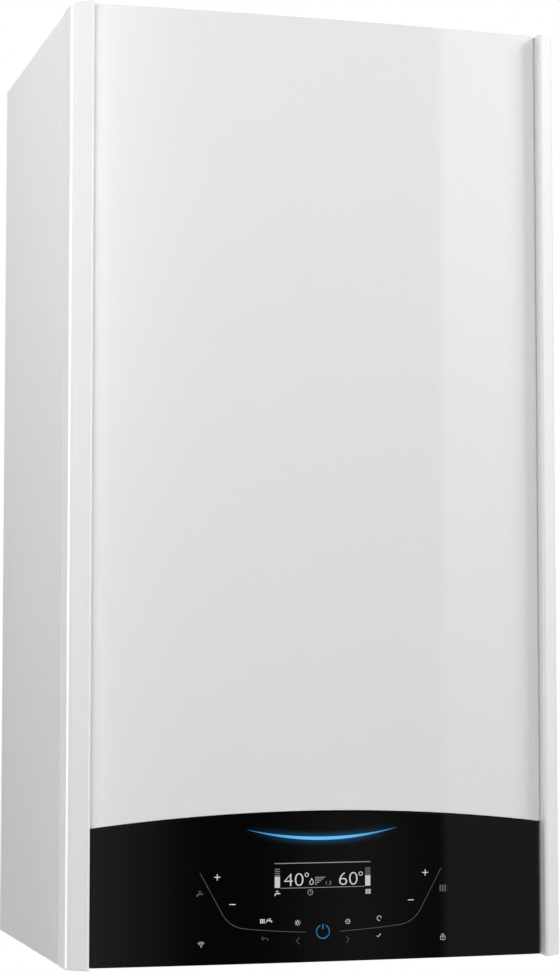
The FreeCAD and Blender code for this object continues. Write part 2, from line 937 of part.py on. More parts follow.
def floor_grommets():
    rings = []
    for word, radius, across, out in FLOOR_PIPES:
        centre = (across, out)
        bore = f"{radius} + loose_clearance"
        name = f"grommet_{word}"
        lower = ("floor_level - grommet_height/2", "floor_level")
        middle = ("floor_level - overrun", "floor_top + overrun")
        upper = ("floor_top", "floor_top + grommet_height/2")
        wide = f"{radius} + grommet_wall"
        neck = f"{radius} + grommet_wall/2 - loose_clearance"
        parts = [
            rod(f"{name}_lower", wide, "up", lower, centre),
            rod(f"{name}_neck", neck, "up", middle, centre),
            rod(f"{name}_upper", wide, "up", upper, centre),
        ]
        length = ("floor_level - grommet_height", "floor_top + grommet_height")
        hole = rod(f"{name}_hole", bore, "up", length, centre)
        rings.append(cut(name, join(f"{name}_body", *parts), hole))
    keep("floor_grommets", together("floor_grommets", *rings))


def chamber_gasket():
    out = ("side_front", "gasket_front")
    cut_out = ("side_front - overrun", "gasket_front + overrun")
    outer = block("gasket_outer", both("gasket_half"), out, ("gasket_low", "gasket_high"))
    window_up = ("gasket_low + gasket_width", "gasket_high - gasket_width")
    window = block("gasket_window", both("gasket_half - gasket_width"), cut_out, window_up)
    keep("chamber_gasket", cut("chamber_gasket", outer, window))


def chamber_cover():
    span = ("cover_low", "cover_high")
    plate = block("cover_plate", both("cover_half"), ("gasket_front", "cover_front"), span)
    field_up = ("cover_low + field_margin", "cover_high - field_margin")
    field_half = "cover_half - field_margin"
    field_out = ("gasket_front", "cover_front + field_depth")
    field = block("cover_field", both(field_half), field_out, field_up)
    dent_up = (f"{field_up[0]} + sheet", f"{field_up[1]} - sheet")
    dent_out = ("gasket_front - overrun", "cover_front + field_depth - sheet")
    dent = block("cover_dent", both(f"{field_half} - sheet"), dent_out, dent_up)
    keep("chamber_cover", cut("chamber_cover", join("cover_sheet", plate, field), dent))


def cover_clips():
    clips = []
    for side, sign in SIDES.items():
        across = about(f"{sign}*clip_across", "clip_width/2")
        face_out = ("cover_front", "cover_front + clip_thick")
        face = block(f"clip_face_{side}", across, face_out, ("clip_low", "clip_low + clip_height"))
        hook_out = ("side_front - clip_hook", "cover_front + clip_thick")
        hook_up = ("clip_low", "clip_low + clip_thick")
        hook = block(f"clip_hook_{side}", across, hook_out, hook_up)
        clips.append(join(f"clip_{side}", face, hook))
    keep("cover_clips", together("cover_clips", *clips))


def front_panel():
    body = new_body("panel_skin")
    low = "arch_low - panel_skirt"
    corners = [
        ("0 - panel_half", "rail_seat"),
        ("panel_half", "rail_seat"),
        ("panel_half", "panel_edge"),
        ("0 - panel_half", "panel_edge"),
    ]
    radius = "(panel_half*panel_half + bow_rise*bow_rise)/(2*bow_rise)"
    bows = {2: (("0", "panel_crest"), radius)}
    solid = pad(body, "panel_solid", "plan", corners, (low, "case_height"), bows)
    soft = round_edges(body, "panel_round", solid, front_corner("panel_half"), "panel_edge_radius")
    seat = faces_at((0, -1, 0), value("rail_seat"))
    foot = faces_at((0, 0, 1), value(f"{low} + case_bottom"))
    hollow(body, "panel_shell", soft, lambda face: seat(face) or foot(face), "sheet")
    arch = [
        ("0 - half_width", "seam_side"),
        ("half_width", "seam_side"),
        ("half_width", "0"),
        ("0 - half_width", "0"),
    ]
    pocket(body, "panel_arch", "front", arch, {0: (("0", "arch_top + seam_gap"), "seam_radius")})
    top_up = ("case_height - sheet", "case_height")
    reach = both("lip_inner - loose_clearance")
    flap = block("panel_flap", reach, ("rail_back", "rail_seat + sheet"), top_up)
    keep("front_panel", join("front_panel", body, flap))


def front_corner(half):
    """A test for the upright edges where a bowed front meets its returned sides."""
    def test(edge):
        ends = [vertex.Point for vertex in edge.Vertexes]
        if len(ends) != 2 or abs(ends[0].z - ends[1].z) < value("panel_skirt"):
            return False
        at_side = abs(abs(ends[0].x) - value(half)) < value("sheet")
        return at_side and -ends[0].y > value("panel_edge - sheet")
    return test


def trim_rails():
    face_in = "rail_inner + rail_wall"
    side_in = "rail_half - rail_wall"
    crest_in = f"rail_corner + (rail_half - ({face_in}))*rail_slope - rail_skin"
    corner_in = f"rail_corner + (rail_half - ({side_in}))*rail_slope - rail_skin"
    front = [
        ("rail_half", "rail_corner", "rail_corner_radius"),
        ("rail_inner", "rail_tip", "rail_crest_radius"),
        ("rail_inner", "rail_seat"),
    ]
    section = [
        ("rail_half", "rail_back"),
        *front,
        ("lip_inner", "rail_seat"),
        ("lip_inner", "rail_seat - rail_wall"),
        (face_in, "rail_seat - rail_wall"),
        (face_in, crest_in),
        (side_in, corner_in, "rail_corner_radius - rail_wall"),
        (side_in, "rail_back"),
    ]
    head = [
        ("rail_half", "rail_back"),
        *front,
        ("lip_inner", "rail_seat"),
        ("lip_inner", "rail_back"),
    ]
    cap_in = f"{face_in} + foot_cap_inset"
    cap_back = "rail_back + foot_cap_inset"
    foot = [
        ("rail_half", cap_back),
        *front,
        (cap_in, "rail_seat"),
        (cap_in, cap_back),
    ]
    head_span = ("case_height - rail_cap", "case_height")
    foot_span = ("foot_cap_level", "foot_cap_level + rail_cap")
    for side, sign in SIDES.items():
        body = new_body(f"rail_{side}")
        outlines = (
            ("channel", section, ("0", "case_height")),
            ("head", head, head_span),
            ("foot", foot, foot_span),
        )
        for word, outline, span in outlines:
            corners = [(f"{sign}*({c[0]})", *c[1:]) for c in outline]
            pad(body, f"rail_{word}_{side}", "plan", corners, span)
        web_ends = (f"{sign}*({face_in})", f"{sign}*({side_in} + rail_wall/2)")
        web_across = web_ends if sign == "1" else web_ends[::-1]
        web_out = ("rail_back + web_setback", "rail_back + web_setback + web_thick")
        web = block(f"rail_web_{side}", web_across, web_out, about("peg_up", "web_height/2"))
        peg_out = ("rail_back", "rail_seat")
        peg_at = (f"{sign}*peg_across", "peg_up")
        peg = rod(f"rail_peg_{side}", "peg_radius + running_clearance", "out", peg_out, peg_at)
        screw_up = ("0 - overrun", "foot_cap_level + rail_cap + overrun")
        screw_at = (f"{sign}*screw_across", "hinge_out")
        bore = "screw_radius + running_clearance"
        screw = rod(f"rail_screw_{side}", bore, "up", screw_up, screw_at)
        lip_ends = (f"{sign}*(lip_inner - overrun)", f"{sign}*rail_inner")
        lip_across = lip_ends if sign == "1" else lip_ends[::-1]
        lip_out = ("rail_seat - rail_wall - overrun", "rail_seat + overrun")
        lip = block(f"rail_lip_{side}", lip_across, lip_out, ("0 - overrun", "lip_low"))
        whole = join(f"rail_whole_{side}", body, web)
        keep(f"trim_rail_{side}", cut(f"trim_rail_{side}", whole, peg, screw, lip))


def casing_pegs():
    pegs = []
    for side, sign in SIDES.items():
        centre = (f"{sign}*peg_across", "peg_up")
        collar_out = ("side_front", "side_front + peg_collar")
        collar = rod(f"peg_collar_{side}", "peg_collar_radius", "out", collar_out, centre)
        shank_out = ("side_front", "side_front + peg_length")
        shank = rod(f"peg_shank_{side}", "peg_radius", "out", shank_out, centre)
        pegs.append(join(f"peg_{side}", collar, shank))
    keep("casing_pegs", together("casing_pegs", *pegs))


def casing_screws():
    screws = []
    for side, sign in SIDES.items():
        centre = (f"{sign}*screw_across", "hinge_out")
        head_up = ("foot_cap_level - screw_head", "foot_cap_level")
        head = rod(f"screw_head_{side}", "screw_head_radius", "up", head_up, centre)
        shank_up = ("foot_cap_level - screw_head/2", "foot_cap_level + screw_length")
        shank = rod(f"screw_shank_{side}", "screw_radius", "up", shank_up, centre)
        screws.append(join(f"screw_{side}", head, shank))
    keep("casing_screws", together("casing_screws", *screws))


# Control panel
def fascia():
    body = new_body("fascia")
    corners = [
        ("0 - fascia_half", "fascia_back"),
        ("fascia_half", "fascia_back"),
        ("fascia_half", "panel_edge"),
        ("0 - fascia_half", "panel_edge"),
    ]
    radius = "(fascia_half*fascia_half + bow_rise*bow_rise)/(2*bow_rise)"
    bows = {2: (("0", "panel_crest"), radius)}
    span = ("fascia_bottom", "arch_top + panel_skirt")
    solid = pad(body, "fascia_solid", "plan", corners, span, bows)
    soft = round_edges(body, "fascia_round", solid, front_corner("fascia_half"), "panel_edge_radius")
    back = faces_at((0, -1, 0), value("fascia_back"))
    top = faces_at((0, 0, 1), value(f"{span[1]} + case_bottom"))
    hollow(body, "fascia_shell", soft, lambda face: back(face) or top(face), "fascia_wall")
    high = "arch_top + 2*panel_skirt"
    arch = [
        ("0 - half_width", "arch_side"),
        ("half_width", "arch_side"),
        ("half_width", high),
        ("0 - half_width", high),
    ]
    pocket(body, "fascia_arch", "front", arch, {0: (("0", "arch_top"), "arch_radius")})
    keep("fascia", body)


def control_box():
    body = new_body("box_skin")
    profile = [
        ("box_front", "box_bottom"),
        ("box_front", "box_top"),
        ("box_shoulder", "box_top"),
        ("box_rear", "box_rear_top"),
        ("box_rear", "box_bottom"),
    ]
    solid = pad(body, "box_solid", "side", profile, both("box_half"))
    hollow(body, "box_shell", solid, faces_at((0, -1, 0), value("box_rear")), "box_wall")
    added = [body]
    rim_out = ("fascia_back - rim_thick", "fascia_back")
    rim_up = ("rim_low", "box_top - box_wall")
    for side, sign in SIDES.items():
        ends = (f"{sign}*(box_half - box_wall)", f"{sign}*(box_half + rim_reach)")
        across = ends if sign == "1" else ends[::-1]
        added.append(block(f"box_rim_{side}", across, rim_out, rim_up))
    for word, half, low, high, out in (
        ("touch", "touch_half", "touch_low", "touch_high", ("box_inner", "touch_back")),
        ("main", "main_half", "main_low", "main_high", ("main_front", "box_inner + box_wall/2")),
    ):
        for side, sign in SIDES.items():
            for level, up in (("lower", f"{low} + post_inset"), ("upper", f"{high} - post_inset")):
                centre = (f"{sign}*({half} - post_inset)", up)
                added.append(rod(f"{word}_post_{side}_{level}", "post_radius", "out", out, centre))
    hole_across = both("box_half + overrun")
    bore = "pin_radius + running_clearance"
    hole = rod("box_pin_hole", bore, "across", hole_across, ("hinge_out", "hinge_up"))
    keep("control_box", cut("control_box", join("box_whole", *added), hole))


def control_box_cover():
    span = ("box_bottom", "box_rear_top")
    out = ("box_cover_back", "box_rear")
    keep("control_box_cover", block("control_box_cover", both("box_half"), out, span))


def boards():
    touch_up = ("touch_low", "touch_high")
    touch = block("touch_board", both("touch_half"), ("touch_back", "touch_front"), touch_up)
    keep("touch_board", touch)
    main_out = ("main_front - board_thick", "main_front")
    main = block("main_sheet", both("main_half"), main_out, ("main_low", "main_high"))
    relay_out = ("main_front - board_thick - relay_height", "main_front - board_thick")
    relays = [main]
    for place_share in RELAY_SHARES:
        across = about(f"{place_share}*main_half", "relay_size/2")
        up = about("(main_low + main_high)/2", "relay_size/2")
        relays.append(block("relay", across, relay_out, up))
    keep("main_board", join("main_board", *relays))


RELAY_SHARES = (-0.7, -0.4, 0.1, 0.5, 0.75)


def display_module():
    out = ("touch_front", "glass_back")
    span = ("display_low", "display_high")
    keep("display_module", block("display_module", both("display_half"), out, span))


def light_guide():
    body = new_body("light_guide")
    tips = [("0 - crescent_half", "crescent_tip"), ("crescent_half", "crescent_tip")]
    chord = "crescent_half*crescent_half"
    bows = {}
    for index, mid in enumerate(("crescent_low", "crescent_high")):
        sag = f"(crescent_tip - {mid})"
        bows[index] = (("0", mid), f"({chord} + {sag}*{sag})/(2*{sag})")
    pad(body, "crescent", "front", tips, ("touch_front", "glass_back"), bows)
    keep("light_guide", body)


def hinge_brackets():
    brackets = []
    for side, sign in SIDES.items():
        ends = (f"{sign}*lip_inner", f"{sign}*bracket_outer")
        plate_across = ends if sign == "1" else ends[::-1]
        body = new_body(f"bracket_plate_{side}")
        profile = [
            ("bracket_back", "base_sheet"),
            ("base_front", "base_sheet"),
            ("hinge_out", "hinge_up - bracket_nose"),
            ("hinge_out", "hinge_up + bracket_nose"),
            ("bracket_back", "base_sheet + bracket_height"),
        ]
        pad(body, f"bracket_profile_{side}", "side", profile, plate_across)
        hinge = ("hinge_out", "hinge_up")
        nose = rod(f"bracket_nose_{side}", "bracket_nose", "across", plate_across, hinge)
        foot_ends = (f"{sign}*(bracket_outer - bracket_foot)", f"{sign}*bracket_outer")
        foot_across = foot_ends if sign == "1" else foot_ends[::-1]
        foot_up = ("base_sheet", "base_sheet + tab_thick")
        foot = block(f"bracket_foot_{side}", foot_across, ("bracket_back", "base_front"), foot_up)
        tab_ends = (f"{sign}*lip_inner", f"{sign}*(bracket_outer + tab_reach)")
        tab_across = tab_ends if sign == "1" else tab_ends[::-1]
        tab_out = about("hinge_out", "tab_back")
        tab_out = (tab_out[0], "hinge_out + tab_front")
        tab = block(f"bracket_tab_{side}", tab_across, tab_out, ("tab_low", "tab_low + tab_thick"))
        whole = join(f"bracket_whole_{side}", body, nose, foot, tab)
        slot_half = "screw_radius + loose_clearance"
        tab_cut = ("tab_low - overrun", "tab_low + tab_thick + overrun")
        slot_across = about(f"{sign}*screw_across", slot_half)
        slot_out = ("hinge_out", "hinge_out + tab_front + overrun")
        slot = block(f"bracket_slot_{side}", slot_across, slot_out, tab_cut)
        slot_at = (f"{sign}*screw_across", "hinge_out")
        slot_end = rod(f"bracket_slot_end_{side}", slot_half, "up", tab_cut, slot_at)
        pin_ends = (f"{sign}*(lip_inner - overrun)", f"{sign}*(bracket_outer + overrun)")
        pin_across = pin_ends if sign == "1" else pin_ends[::-1]
        bore = "pin_radius + running_clearance"
        hole = rod(f"bracket_hole_{side}", bore, "across", pin_across, hinge)
        brackets.append(cut(f"bracket_{side}", whole, slot, slot_end, hole))
    keep("hinge_brackets", together("hinge_brackets", *brackets))


def hinge_pins():
    pins = []
    for side, sign in SIDES.items():
        hinge = ("hinge_out", "hinge_up")
        ends = (f"{sign}*(box_half - box_wall)", f"{sign}*(bracket_outer + pin_head/2)")
        across = ends if sign == "1" else ends[::-1]
        shank = rod(f"pin_shank_{side}", "pin_radius", "across", across, hinge)
        head_ends = (f"{sign}*bracket_outer", f"{sign}*(bracket_outer + pin_head)")
        head_across = head_ends if sign == "1" else head_ends[::-1]
        head = rod(f"pin_head_{side}", "pin_head_radius", "across", head_across, hinge)
        pins.append(join(f"pin_{side}", shank, head))
    keep("hinge_pins", together("hinge_pins", *pins))


# Flue
def flue_collar():
    centre = ("0", "flue_out")
    plate_up = ("case_height", "case_height + collar_plate")
    plate = block("collar_deck", both("collar_half"), about("flue_out", "collar_reach"), plate_up)
    air_up = ("duct_top", "case_height + air_height")
    air = rod("collar_air", "air_radius", "up", air_up, centre)
    caps = [plate, air]
    for side, sign in SIDES.items():
        at = (f"{sign}*(collar_half - test_inset)", "flue_out + collar_reach - test_inset")
        point_up = ("case_height", "case_height + test_height")
        caps.append(rod(f"test_point_{side}", "test_radius", "up", point_up, at))
    solid = join("collar_solid", *caps)
    tall = ("duct_top - overrun", "case_height + flue_height + overrun")
    opening = rod("collar_opening", "air_radius - air_wall", "up", tall, centre)
    rim = cut("collar_rim", solid, opening)
    tube_up = ("duct_top", "case_height + flue_height")
    tube = rod("collar_tube", "flue_tube", "up", tube_up, centre)
    rib_up = ("duct_top", "case_height")
    rib_half = "air_radius - air_wall/2"
    thin = "rib_thick/2"
    rib_across = block("collar_rib_across", both(rib_half), about("flue_out", thin), rib_up)
    rib_out = block("collar_rib_out", both(thin), about("flue_out", rib_half), rib_up)
    bore = rod("collar_bore", "flue_radius", "up", tall, centre)
    keep("flue_collar", cut("flue_collar", join("collar_whole", rim, tube, rib_across, rib_out), bore))


def flue_duct():
    span = ("stub_top", "duct_top")
    bore = "flue_radius - duct_step"
    duct = sleeve("flue_duct", "flue_tube", bore, "up", span, ("0", "flue_out"))
    keep("flue_duct", duct)


# Heat exchanger and burner
EXCHANGER = ("exchanger_across", "exchanger_up")


def exchanger_shell():
    drum_out = ("exchanger_back", "exchanger_front")
    drum = rod("shell_drum", "exchanger_radius", "out", drum_out, EXCHANGER)
    rim_out = ("exchanger_front - rim_depth", "exchanger_front")
    rim = rod("shell_rim", "rim_radius", "out", rim_out, EXCHANGER)
    flue_at = ("0", "flue_out")
    stub = rod("shell_stub", "flue_tube", "up", ("exchanger_up", "stub_top"), flue_at)
    flow_across = ("flow_port_end", "exchanger_across")
    flow = rod("shell_flow", "port_radius", "across", flow_across, ("port_out", "flow_port_up"))
    back_across = ("exchanger_across", "return_port_end")
    back = rod("shell_return", "port_radius", "across", back_across, ("port_out", "return_port_up"))
    drain_at = ("drain_across", "drain_out")
    drain = rod("shell_drain", "drain_radius", "up", ("drain_low", "exchanger_up"), drain_at)
    legs = []
    for side, sign in SIDES.items():
        across = about(f"exchanger_across + {sign}*leg_spread", "leg_thick/2")
        up = ("floor_top", "exchanger_up")
        legs.append(block(f"shell_leg_{side}", across, ("leg_back", "leg_front"), up))
    solid = join("shell_solid", drum, rim, stub, flow, back, drain, *legs)
    inside_out = ("coil_back", "exchanger_front + overrun")
    inside = rod("shell_inside", "shell_inner", "out", inside_out, EXCHANGER)
    stub_cut = ("exchanger_up", "stub_top + overrun")
    stub_bore = rod("shell_stub_bore", "flue_radius - duct_step", "up", stub_cut, flue_at)
    thin = "port_radius - port_wall"
    flow_cut = ("flow_port_end - overrun", "exchanger_across")
    flow_bore = rod("shell_flow_bore", thin, "across", flow_cut, ("port_out", "flow_port_up"))
    back_cut = ("exchanger_across", "return_port_end + overrun")
    back_bore = rod("shell_return_bore", thin, "across", back_cut, ("port_out", "return_port_up"))
    drain_cut = ("drain_low - overrun", "exchanger_up")
    drain_bore = rod("shell_drain_bore", "drain_radius - port_wall", "up", drain_cut, drain_at)
    tools = (inside, stub_bore, flow_bore, back_bore, drain_bore)
    keep("exchanger_shell", cut("exchanger_shell", solid, *tools))


def exchanger_coil():
    span = ("coil_back", "coil_back + coil_length")
    coil = sleeve("coil_tube", "coil_outer", "coil_inner", "out", span, EXCHANGER)
    tools = []
    total = count("groove_count")
    for index in range(1, total + 1):
        middle = f"coil_back + coil_length*{index}/(groove_count + 1)"
        out = about(middle, "groove_width/2")
        name = f"coil_groove_{index}"
        floor = "coil_outer - groove_depth"
        tools.append(sleeve(name, "coil_outer + overrun", floor, "out", out, EXCHANGER))
    keep("exchanger_coil", cut("exchanger_coil", coil, *tools))


def burner_door():
    disc_out = ("exchanger_front", "door_front")
    disc = rod("door_disc", "rim_radius", "out", disc_out, EXCHANGER)
    box_across = ("manifold_left", "manifold_right")
    box_up = ("manifold_low", "manifold_high")
    box = block("door_manifold", box_across, ("door_front", "manifold_front"), box_up)
    inside_across = ("manifold_left + manifold_wall", "manifold_right - manifold_wall")
    inside_up = ("manifold_low + manifold_wall", "manifold_high - manifold_wall")
    inside_out = ("door_front", "manifold_front - manifold_wall")
    inside = block("door_inside", inside_across, inside_out, inside_up)
    hole_out = ("exchanger_front - overrun", "door_front + manifold_wall")
    hole = rod("door_hole", "manifold_high/2 - manifold_low/2 - manifold_wall", "out", hole_out, EXCHANGER)
    mouth_across = ("fan_left + spout_wall", "spout_right - spout_wall")
    mouth_out = ("fan_back + spout_wall", "manifold_front - manifold_wall")
    mouth_up = ("manifold_high - manifold_wall - overrun", "manifold_high + overrun")
    mouth = block("door_mouth", mouth_across, mouth_out, mouth_up)
    wire_out = ("exchanger_front - overrun", "door_front + overrun")
    bore = "electrode_radius + running_clearance"
    wire = rod("door_wire", bore, "out", wire_out, ("electrode_across", "electrode_up"))
    solid = join("door_solid", disc, box)
    keep("burner_door", cut("burner_door", solid, inside, hole, mouth, wire))


def door_insulation():
    span = ("exchanger_front - insulation_thick", "exchanger_front")
    bore = "burner_flange + insulation_gap"
    ring = sleeve("insulation_ring", "insulation_radius", bore, "out", span, EXCHANGER)
    longer = (f"{span[0]} - overrun", f"{span[1]} + overrun")
    wide = "electrode_radius + insulation_gap"
    hole = rod("insulation_hole", wide, "out", longer, ("electrode_across", "electrode_up"))
    keep("door_insulation", cut("door_insulation", ring, hole))


def burner_tube():
    back = "exchanger_front - burner_length"
    tube = rod("burner_skin", "burner_radius", "out", (back, "exchanger_front"), EXCHANGER)
    flange_out = ("exchanger_front - burner_flange_thick", "exchanger_front")
    flange = rod("burner_rim", "burner_flange", "out", flange_out, EXCHANGER)
    bore_out = (f"{back} + burner_wall", "exchanger_front + overrun")
    bore = rod("burner_bore", "burner_radius - burner_wall", "out", bore_out, EXCHANGER)
    keep("burner_tube", cut("burner_tube", join("burner_solid", tube, flange), bore))


def door_nuts():
    nuts = []
    for side, sign in SIDES.items():
        for level, lift in (("lower", "-1"), ("upper", "1")):
            across = f"exchanger_across + {sign}*nut_circle/2"
            up = f"exchanger_up + {lift}*nut_circle*sqrt(3)/2"
            span = ("door_front", "door_front + nut_thick")
            nuts.append(hexagon(f"nut_{side}_{level}", "nut_radius", "out", span, (across, up)))
    keep("door_nuts", together("door_nuts", *nuts))


def spark_electrode():
    at = ("electrode_across", "electrode_up")
    core_out = ("exchanger_front - electrode_back", "door_front + electrode_front")
    core = rod("electrode_core", "electrode_radius", "out", core_out, at)
    flange_out = ("door_front", "door_front + electrode_flange_thick")
    flange = rod("electrode_rim", "electrode_flange", "out", flange_out, at)
    wire_out = ("exchanger_front - electrode_tip", "door_front")
    wire = rod("electrode_wire", "wire_radius", "out", wire_out, at)
    keep("spark_electrode", join("spark_electrode", core, flange, wire))


# Fan and mixer
FAN = ("fan_across", "fan_up")


def fan_housing():
    out = ("fan_back", "fan_front")
    drum = rod("fan_drum", "fan_radius", "out", out, FAN)
    spout_up = ("manifold_high", "fan_up")
    spout = block("fan_spout", ("fan_left", "spout_right"), out, spout_up)
    flange_across = ("fan_left - spout_wall/2", "spout_right + spout_wall/2")
    flange_up = ("manifold_high", "manifold_high + spout_flange")
    flange = block("fan_spout_flange", flange_across, out, flange_up)
    hollow_out = ("fan_back + fan_wall", "fan_front - fan_wall")
    inside = rod("fan_inside", "fan_radius - fan_rim", "out", hollow_out, FAN)
    throat_across = ("fan_left + spout_wall", "spout_right - spout_wall")
    throat_out = ("fan_back + spout_wall", "fan_front - spout_wall")
    throat = block("fan_throat", throat_across, throat_out, ("manifold_high - overrun", "fan_up"))
    inlet_out = ("fan_back - overrun", "fan_back + fan_wall + overrun")
    inlet = rod("fan_inlet_hole", "fan_inlet", "out", inlet_out, FAN)
    shaft_out = ("fan_front - fan_wall - overrun", "fan_front + overrun")
    shaft = rod("fan_shaft_opening", "fan_shaft_hole", "out", shaft_out, FAN)
    solid = join("fan_solid", drum, spout, flange)
    keep("fan_housing", cut("fan_housing", solid, inside, throat, inlet, shaft))


def fan_impeller():
    disc_out = ("impeller_front - impeller_disc", "impeller_front")
    parts = [rod("impeller_plate", "impeller_radius", "out", disc_out, FAN)]
    hub_out = ("impeller_back + impeller_ring", "impeller_front")
    parts.append(rod("impeller_boss", "impeller_hub", "out", hub_out, FAN))
    shaft_out = ("impeller_front - impeller_disc", "fan_front + fan_shaft")
    parts.append(rod("impeller_shaft", "shaft_radius", "out", shaft_out, FAN))
    ring_out = ("impeller_back", "impeller_back + impeller_ring")
    eye = "impeller_eye"
    parts.append(sleeve("impeller_rim", "impeller_radius", eye, "out", ring_out, FAN))
    total = count("blade_count")
    inner = "(impeller_eye + blade_thick)"
    for index in range(total):
        angle = 360 * index / total
        cosine = f"{math.cos(math.radians(angle)):.9f}"
        sine = f"{math.sin(math.radians(angle)):.9f}"
        blade = doc.addObject("Part::Box", f"blade_{index}")
        bind(blade, Length=f"impeller_radius - blade_thick - {inner}", Width="blade_thick")
        bind(blade, Height="impeller_depth - impeller_ring/2 - impeller_disc/2")
        across = f"fan_across + {cosine}*{inner} + {sine}*blade_thick/2"
        up = f"fan_up + {sine}*{inner} - {cosine}*blade_thick/2"
        turn = turned((0, -1, 0), angle) * TURNS["out"]
        parts.append(place(blade, across, "impeller_back + impeller_ring/2", up, turn))
    keep("fan_impeller", join("fan_impeller", *parts))


def fan_motor():
    can_out = ("fan_front", "fan_motor_front")
    can = rod("fan_can", "fan_motor_radius", "out", can_out, FAN)
    bore_out = ("fan_front - overrun", "fan_front + fan_shaft + overrun")
    bore = rod("fan_can_bore", "shaft_radius + running_clearance", "out", bore_out, FAN)
    keep("fan_motor", cut("fan_motor", can, bore))


def air_gas_mixer():
    body = rod("mixer_body", "mixer_radius", "out", ("mixer_back", "fan_back"), FAN)
    flange_out = ("fan_back - mixer_flange_thick", "fan_back")
    flange = rod("mixer_rim", "mixer_flange", "out", flange_out, FAN)
    stub_at = ("fan_across", "gas_out")
    stub = rod("mixer_port", "mixer_stub", "up", ("mixer_stub_low", "fan_up"), stub_at)
    bore_out = ("mixer_back - overrun", "fan_back + overrun")
    bore = rod("mixer_throat", "mixer_bore", "out", bore_out, FAN)
    stub_up = ("mixer_stub_low - overrun", "fan_up")
    stub_bore = rod("mixer_port_bore", "gas_radius - pipe_wall", "up", stub_up, stub_at)
    keep("air_gas_mixer", cut("air_gas_mixer", join("mixer_solid", body, flange, stub), bore, stub_bore))


# Gas line
def gas_valve():
    out = ("valve_back", "valve_front")
    body = block("valve_body", both("valve_half"), out, ("valve_low", "valve_high"))
    coils = []
    for side, sign in SIDES.items():
        at = (f"{sign}*solenoid_spread", "(valve_low + valve_high)/2 + solenoid_rise/2")
        coil_out = ("valve_front - overrun", "valve_front + solenoid_reach")
        coils.append(rod(f"valve_coil_{side}", "solenoid_radius", "out", coil_out, at))
    screw_at = ("0", "valve_low + solenoid_rise")
    screw_out = ("valve_front - overrun", "valve_front + solenoid_reach/2")
    screw = rod("valve_regulator", "solenoid_radius", "out", screw_out, screw_at)
    keep("gas_valve", join("gas_valve", body, screw, *coils))


def gas_pipes():
    route = [
        ("0", "gas_out", "valve_high"),
        ("0", "gas_out", "gas_turn_up"),
        ("fan_across", "gas_out", "gas_turn_up"),
        ("fan_across", "gas_out", "mixer_stub_low"),
    ]
    keep("gas_feed_pipe", pipe("gas_feed_pipe", route, "gas_radius", "pipe_wall"))
    keep("gas_inlet_pipe", tail("gas_inlet_pipe", "water_tail_radius", "0", "valve_low"))


def shoulder(name, radius, centre):
    """The plain band of a connection where it passes the bottom plate."""
    wide = f"{radius} + tail_shoulder"
    return rod(f"{name}_shoulder", wide, "up", ("0", "base_sheet + tail_shoulder"), centre)


def tail(name, radius, across, top):
    """A threaded connection standing on the bottom plate by its collar."""
    centre = (across, "tail_out")
    pipe_up = ("0 - tail_drop", top)
    outer = rod(f"{name}_outer", radius, "up", pipe_up, centre)
    collar_up = ("base_sheet", "base_sheet + tail_collar_height")
    collar = hexagon(f"{name}_collar", f"({radius} + tail_collar)*2/sqrt(3)", "up", collar_up, centre)
    bore_up = ("0 - tail_drop - overrun", f"{top} + overrun")
    bore = rod(f"{name}_bore", f"{radius} - tail_wall", "up", bore_up, centre)
    band = shoulder(name, radius, centre)
    return cut(name, join(f"{name}_solid", outer, collar, band), bore)


def connection_tails():
    tails = [tail(f"tail_{word}", radius, across, "block_low") for word, radius, across in TAILS]
    keep("connection_tails", together("connection_tails", *tails))


# Expansion vessel
def drum(name, out, radius, edge):
    """A round drum with rounded edges, turned about an axis that runs out from the wall."""
    body = new_body(name)
    profile = [
        (out[0], "vessel_up"),
        (out[1], "vessel_up"),
        (out[1], f"vessel_up + {radius}", edge),
        (out[0], f"vessel_up + {radius}", edge),
    ]
    sketch = sketch_on(body, f"{name}_profile", "side", profile, "0")
    item = body.newObject("PartDesign::Revolution", f"{name}_turn")
    item.Profile = sketch
    doc.recompute()
    height = value("vessel_up + case_bottom")
    for index, line in enumerate(sketch.Shape.Edges, 1):
        if all(abs(vertex.Z - height) < value("running_clearance") for vertex in line.Vertexes):
            item.ReferenceAxis = (sketch, [f"Edge{index}"])
    doc.recompute()
    return body


def expansion_vessel():
    centre = ("0", "vessel_up")
    skin = drum("vessel_skin", ("frame_sheet", "vessel_front"), "vessel_radius", "vessel_round")
    inside_out = ("frame_sheet + vessel_wall", "vessel_front - vessel_wall")
    inside_radius = "vessel_radius - vessel_wall"
    inside = drum("vessel_inside", inside_out, inside_radius, "vessel_round - vessel_wall")
    middle = "(frame_sheet + vessel_front)/2"
    rim_out = about(middle, "vessel_rim_width/2")
    rim = rod("vessel_rim", "vessel_radius + vessel_rim", "out", rim_out, centre)
    port_at = ("vessel_pipe_across", "vessel_pipe_out")
    port = rod("vessel_neck", "vessel_port", "up", ("vessel_port_low", "vessel_up"), port_at)
    bore_up = ("vessel_port_low - overrun", "vessel_up")
    bore = rod("vessel_neck_bore", "vessel_pipe_radius - pipe_wall", "up", bore_up, port_at)
    solid = join("vessel_solid", skin, rim, port)
    keep("expansion_vessel", cut("expansion_vessel", solid, inside, bore))


def vessel_pipe():
    route = [
        ("vessel_pipe_across", "vessel_pipe_out", "vessel_port_low"),
        ("vessel_pipe_across", "vessel_pipe_out", "vessel_pipe_up"),
        ("vessel_pipe_across", "vessel_pipe_front", "vessel_pipe_up"),
        ("vessel_pipe_across", "vessel_pipe_front", "block_high"),
    ]
    bend = "3*vessel_pipe_radius"
    keep("vessel_pipe", pipe("vessel_pipe", route, "vessel_pipe_radius", "pipe_wall", bend))


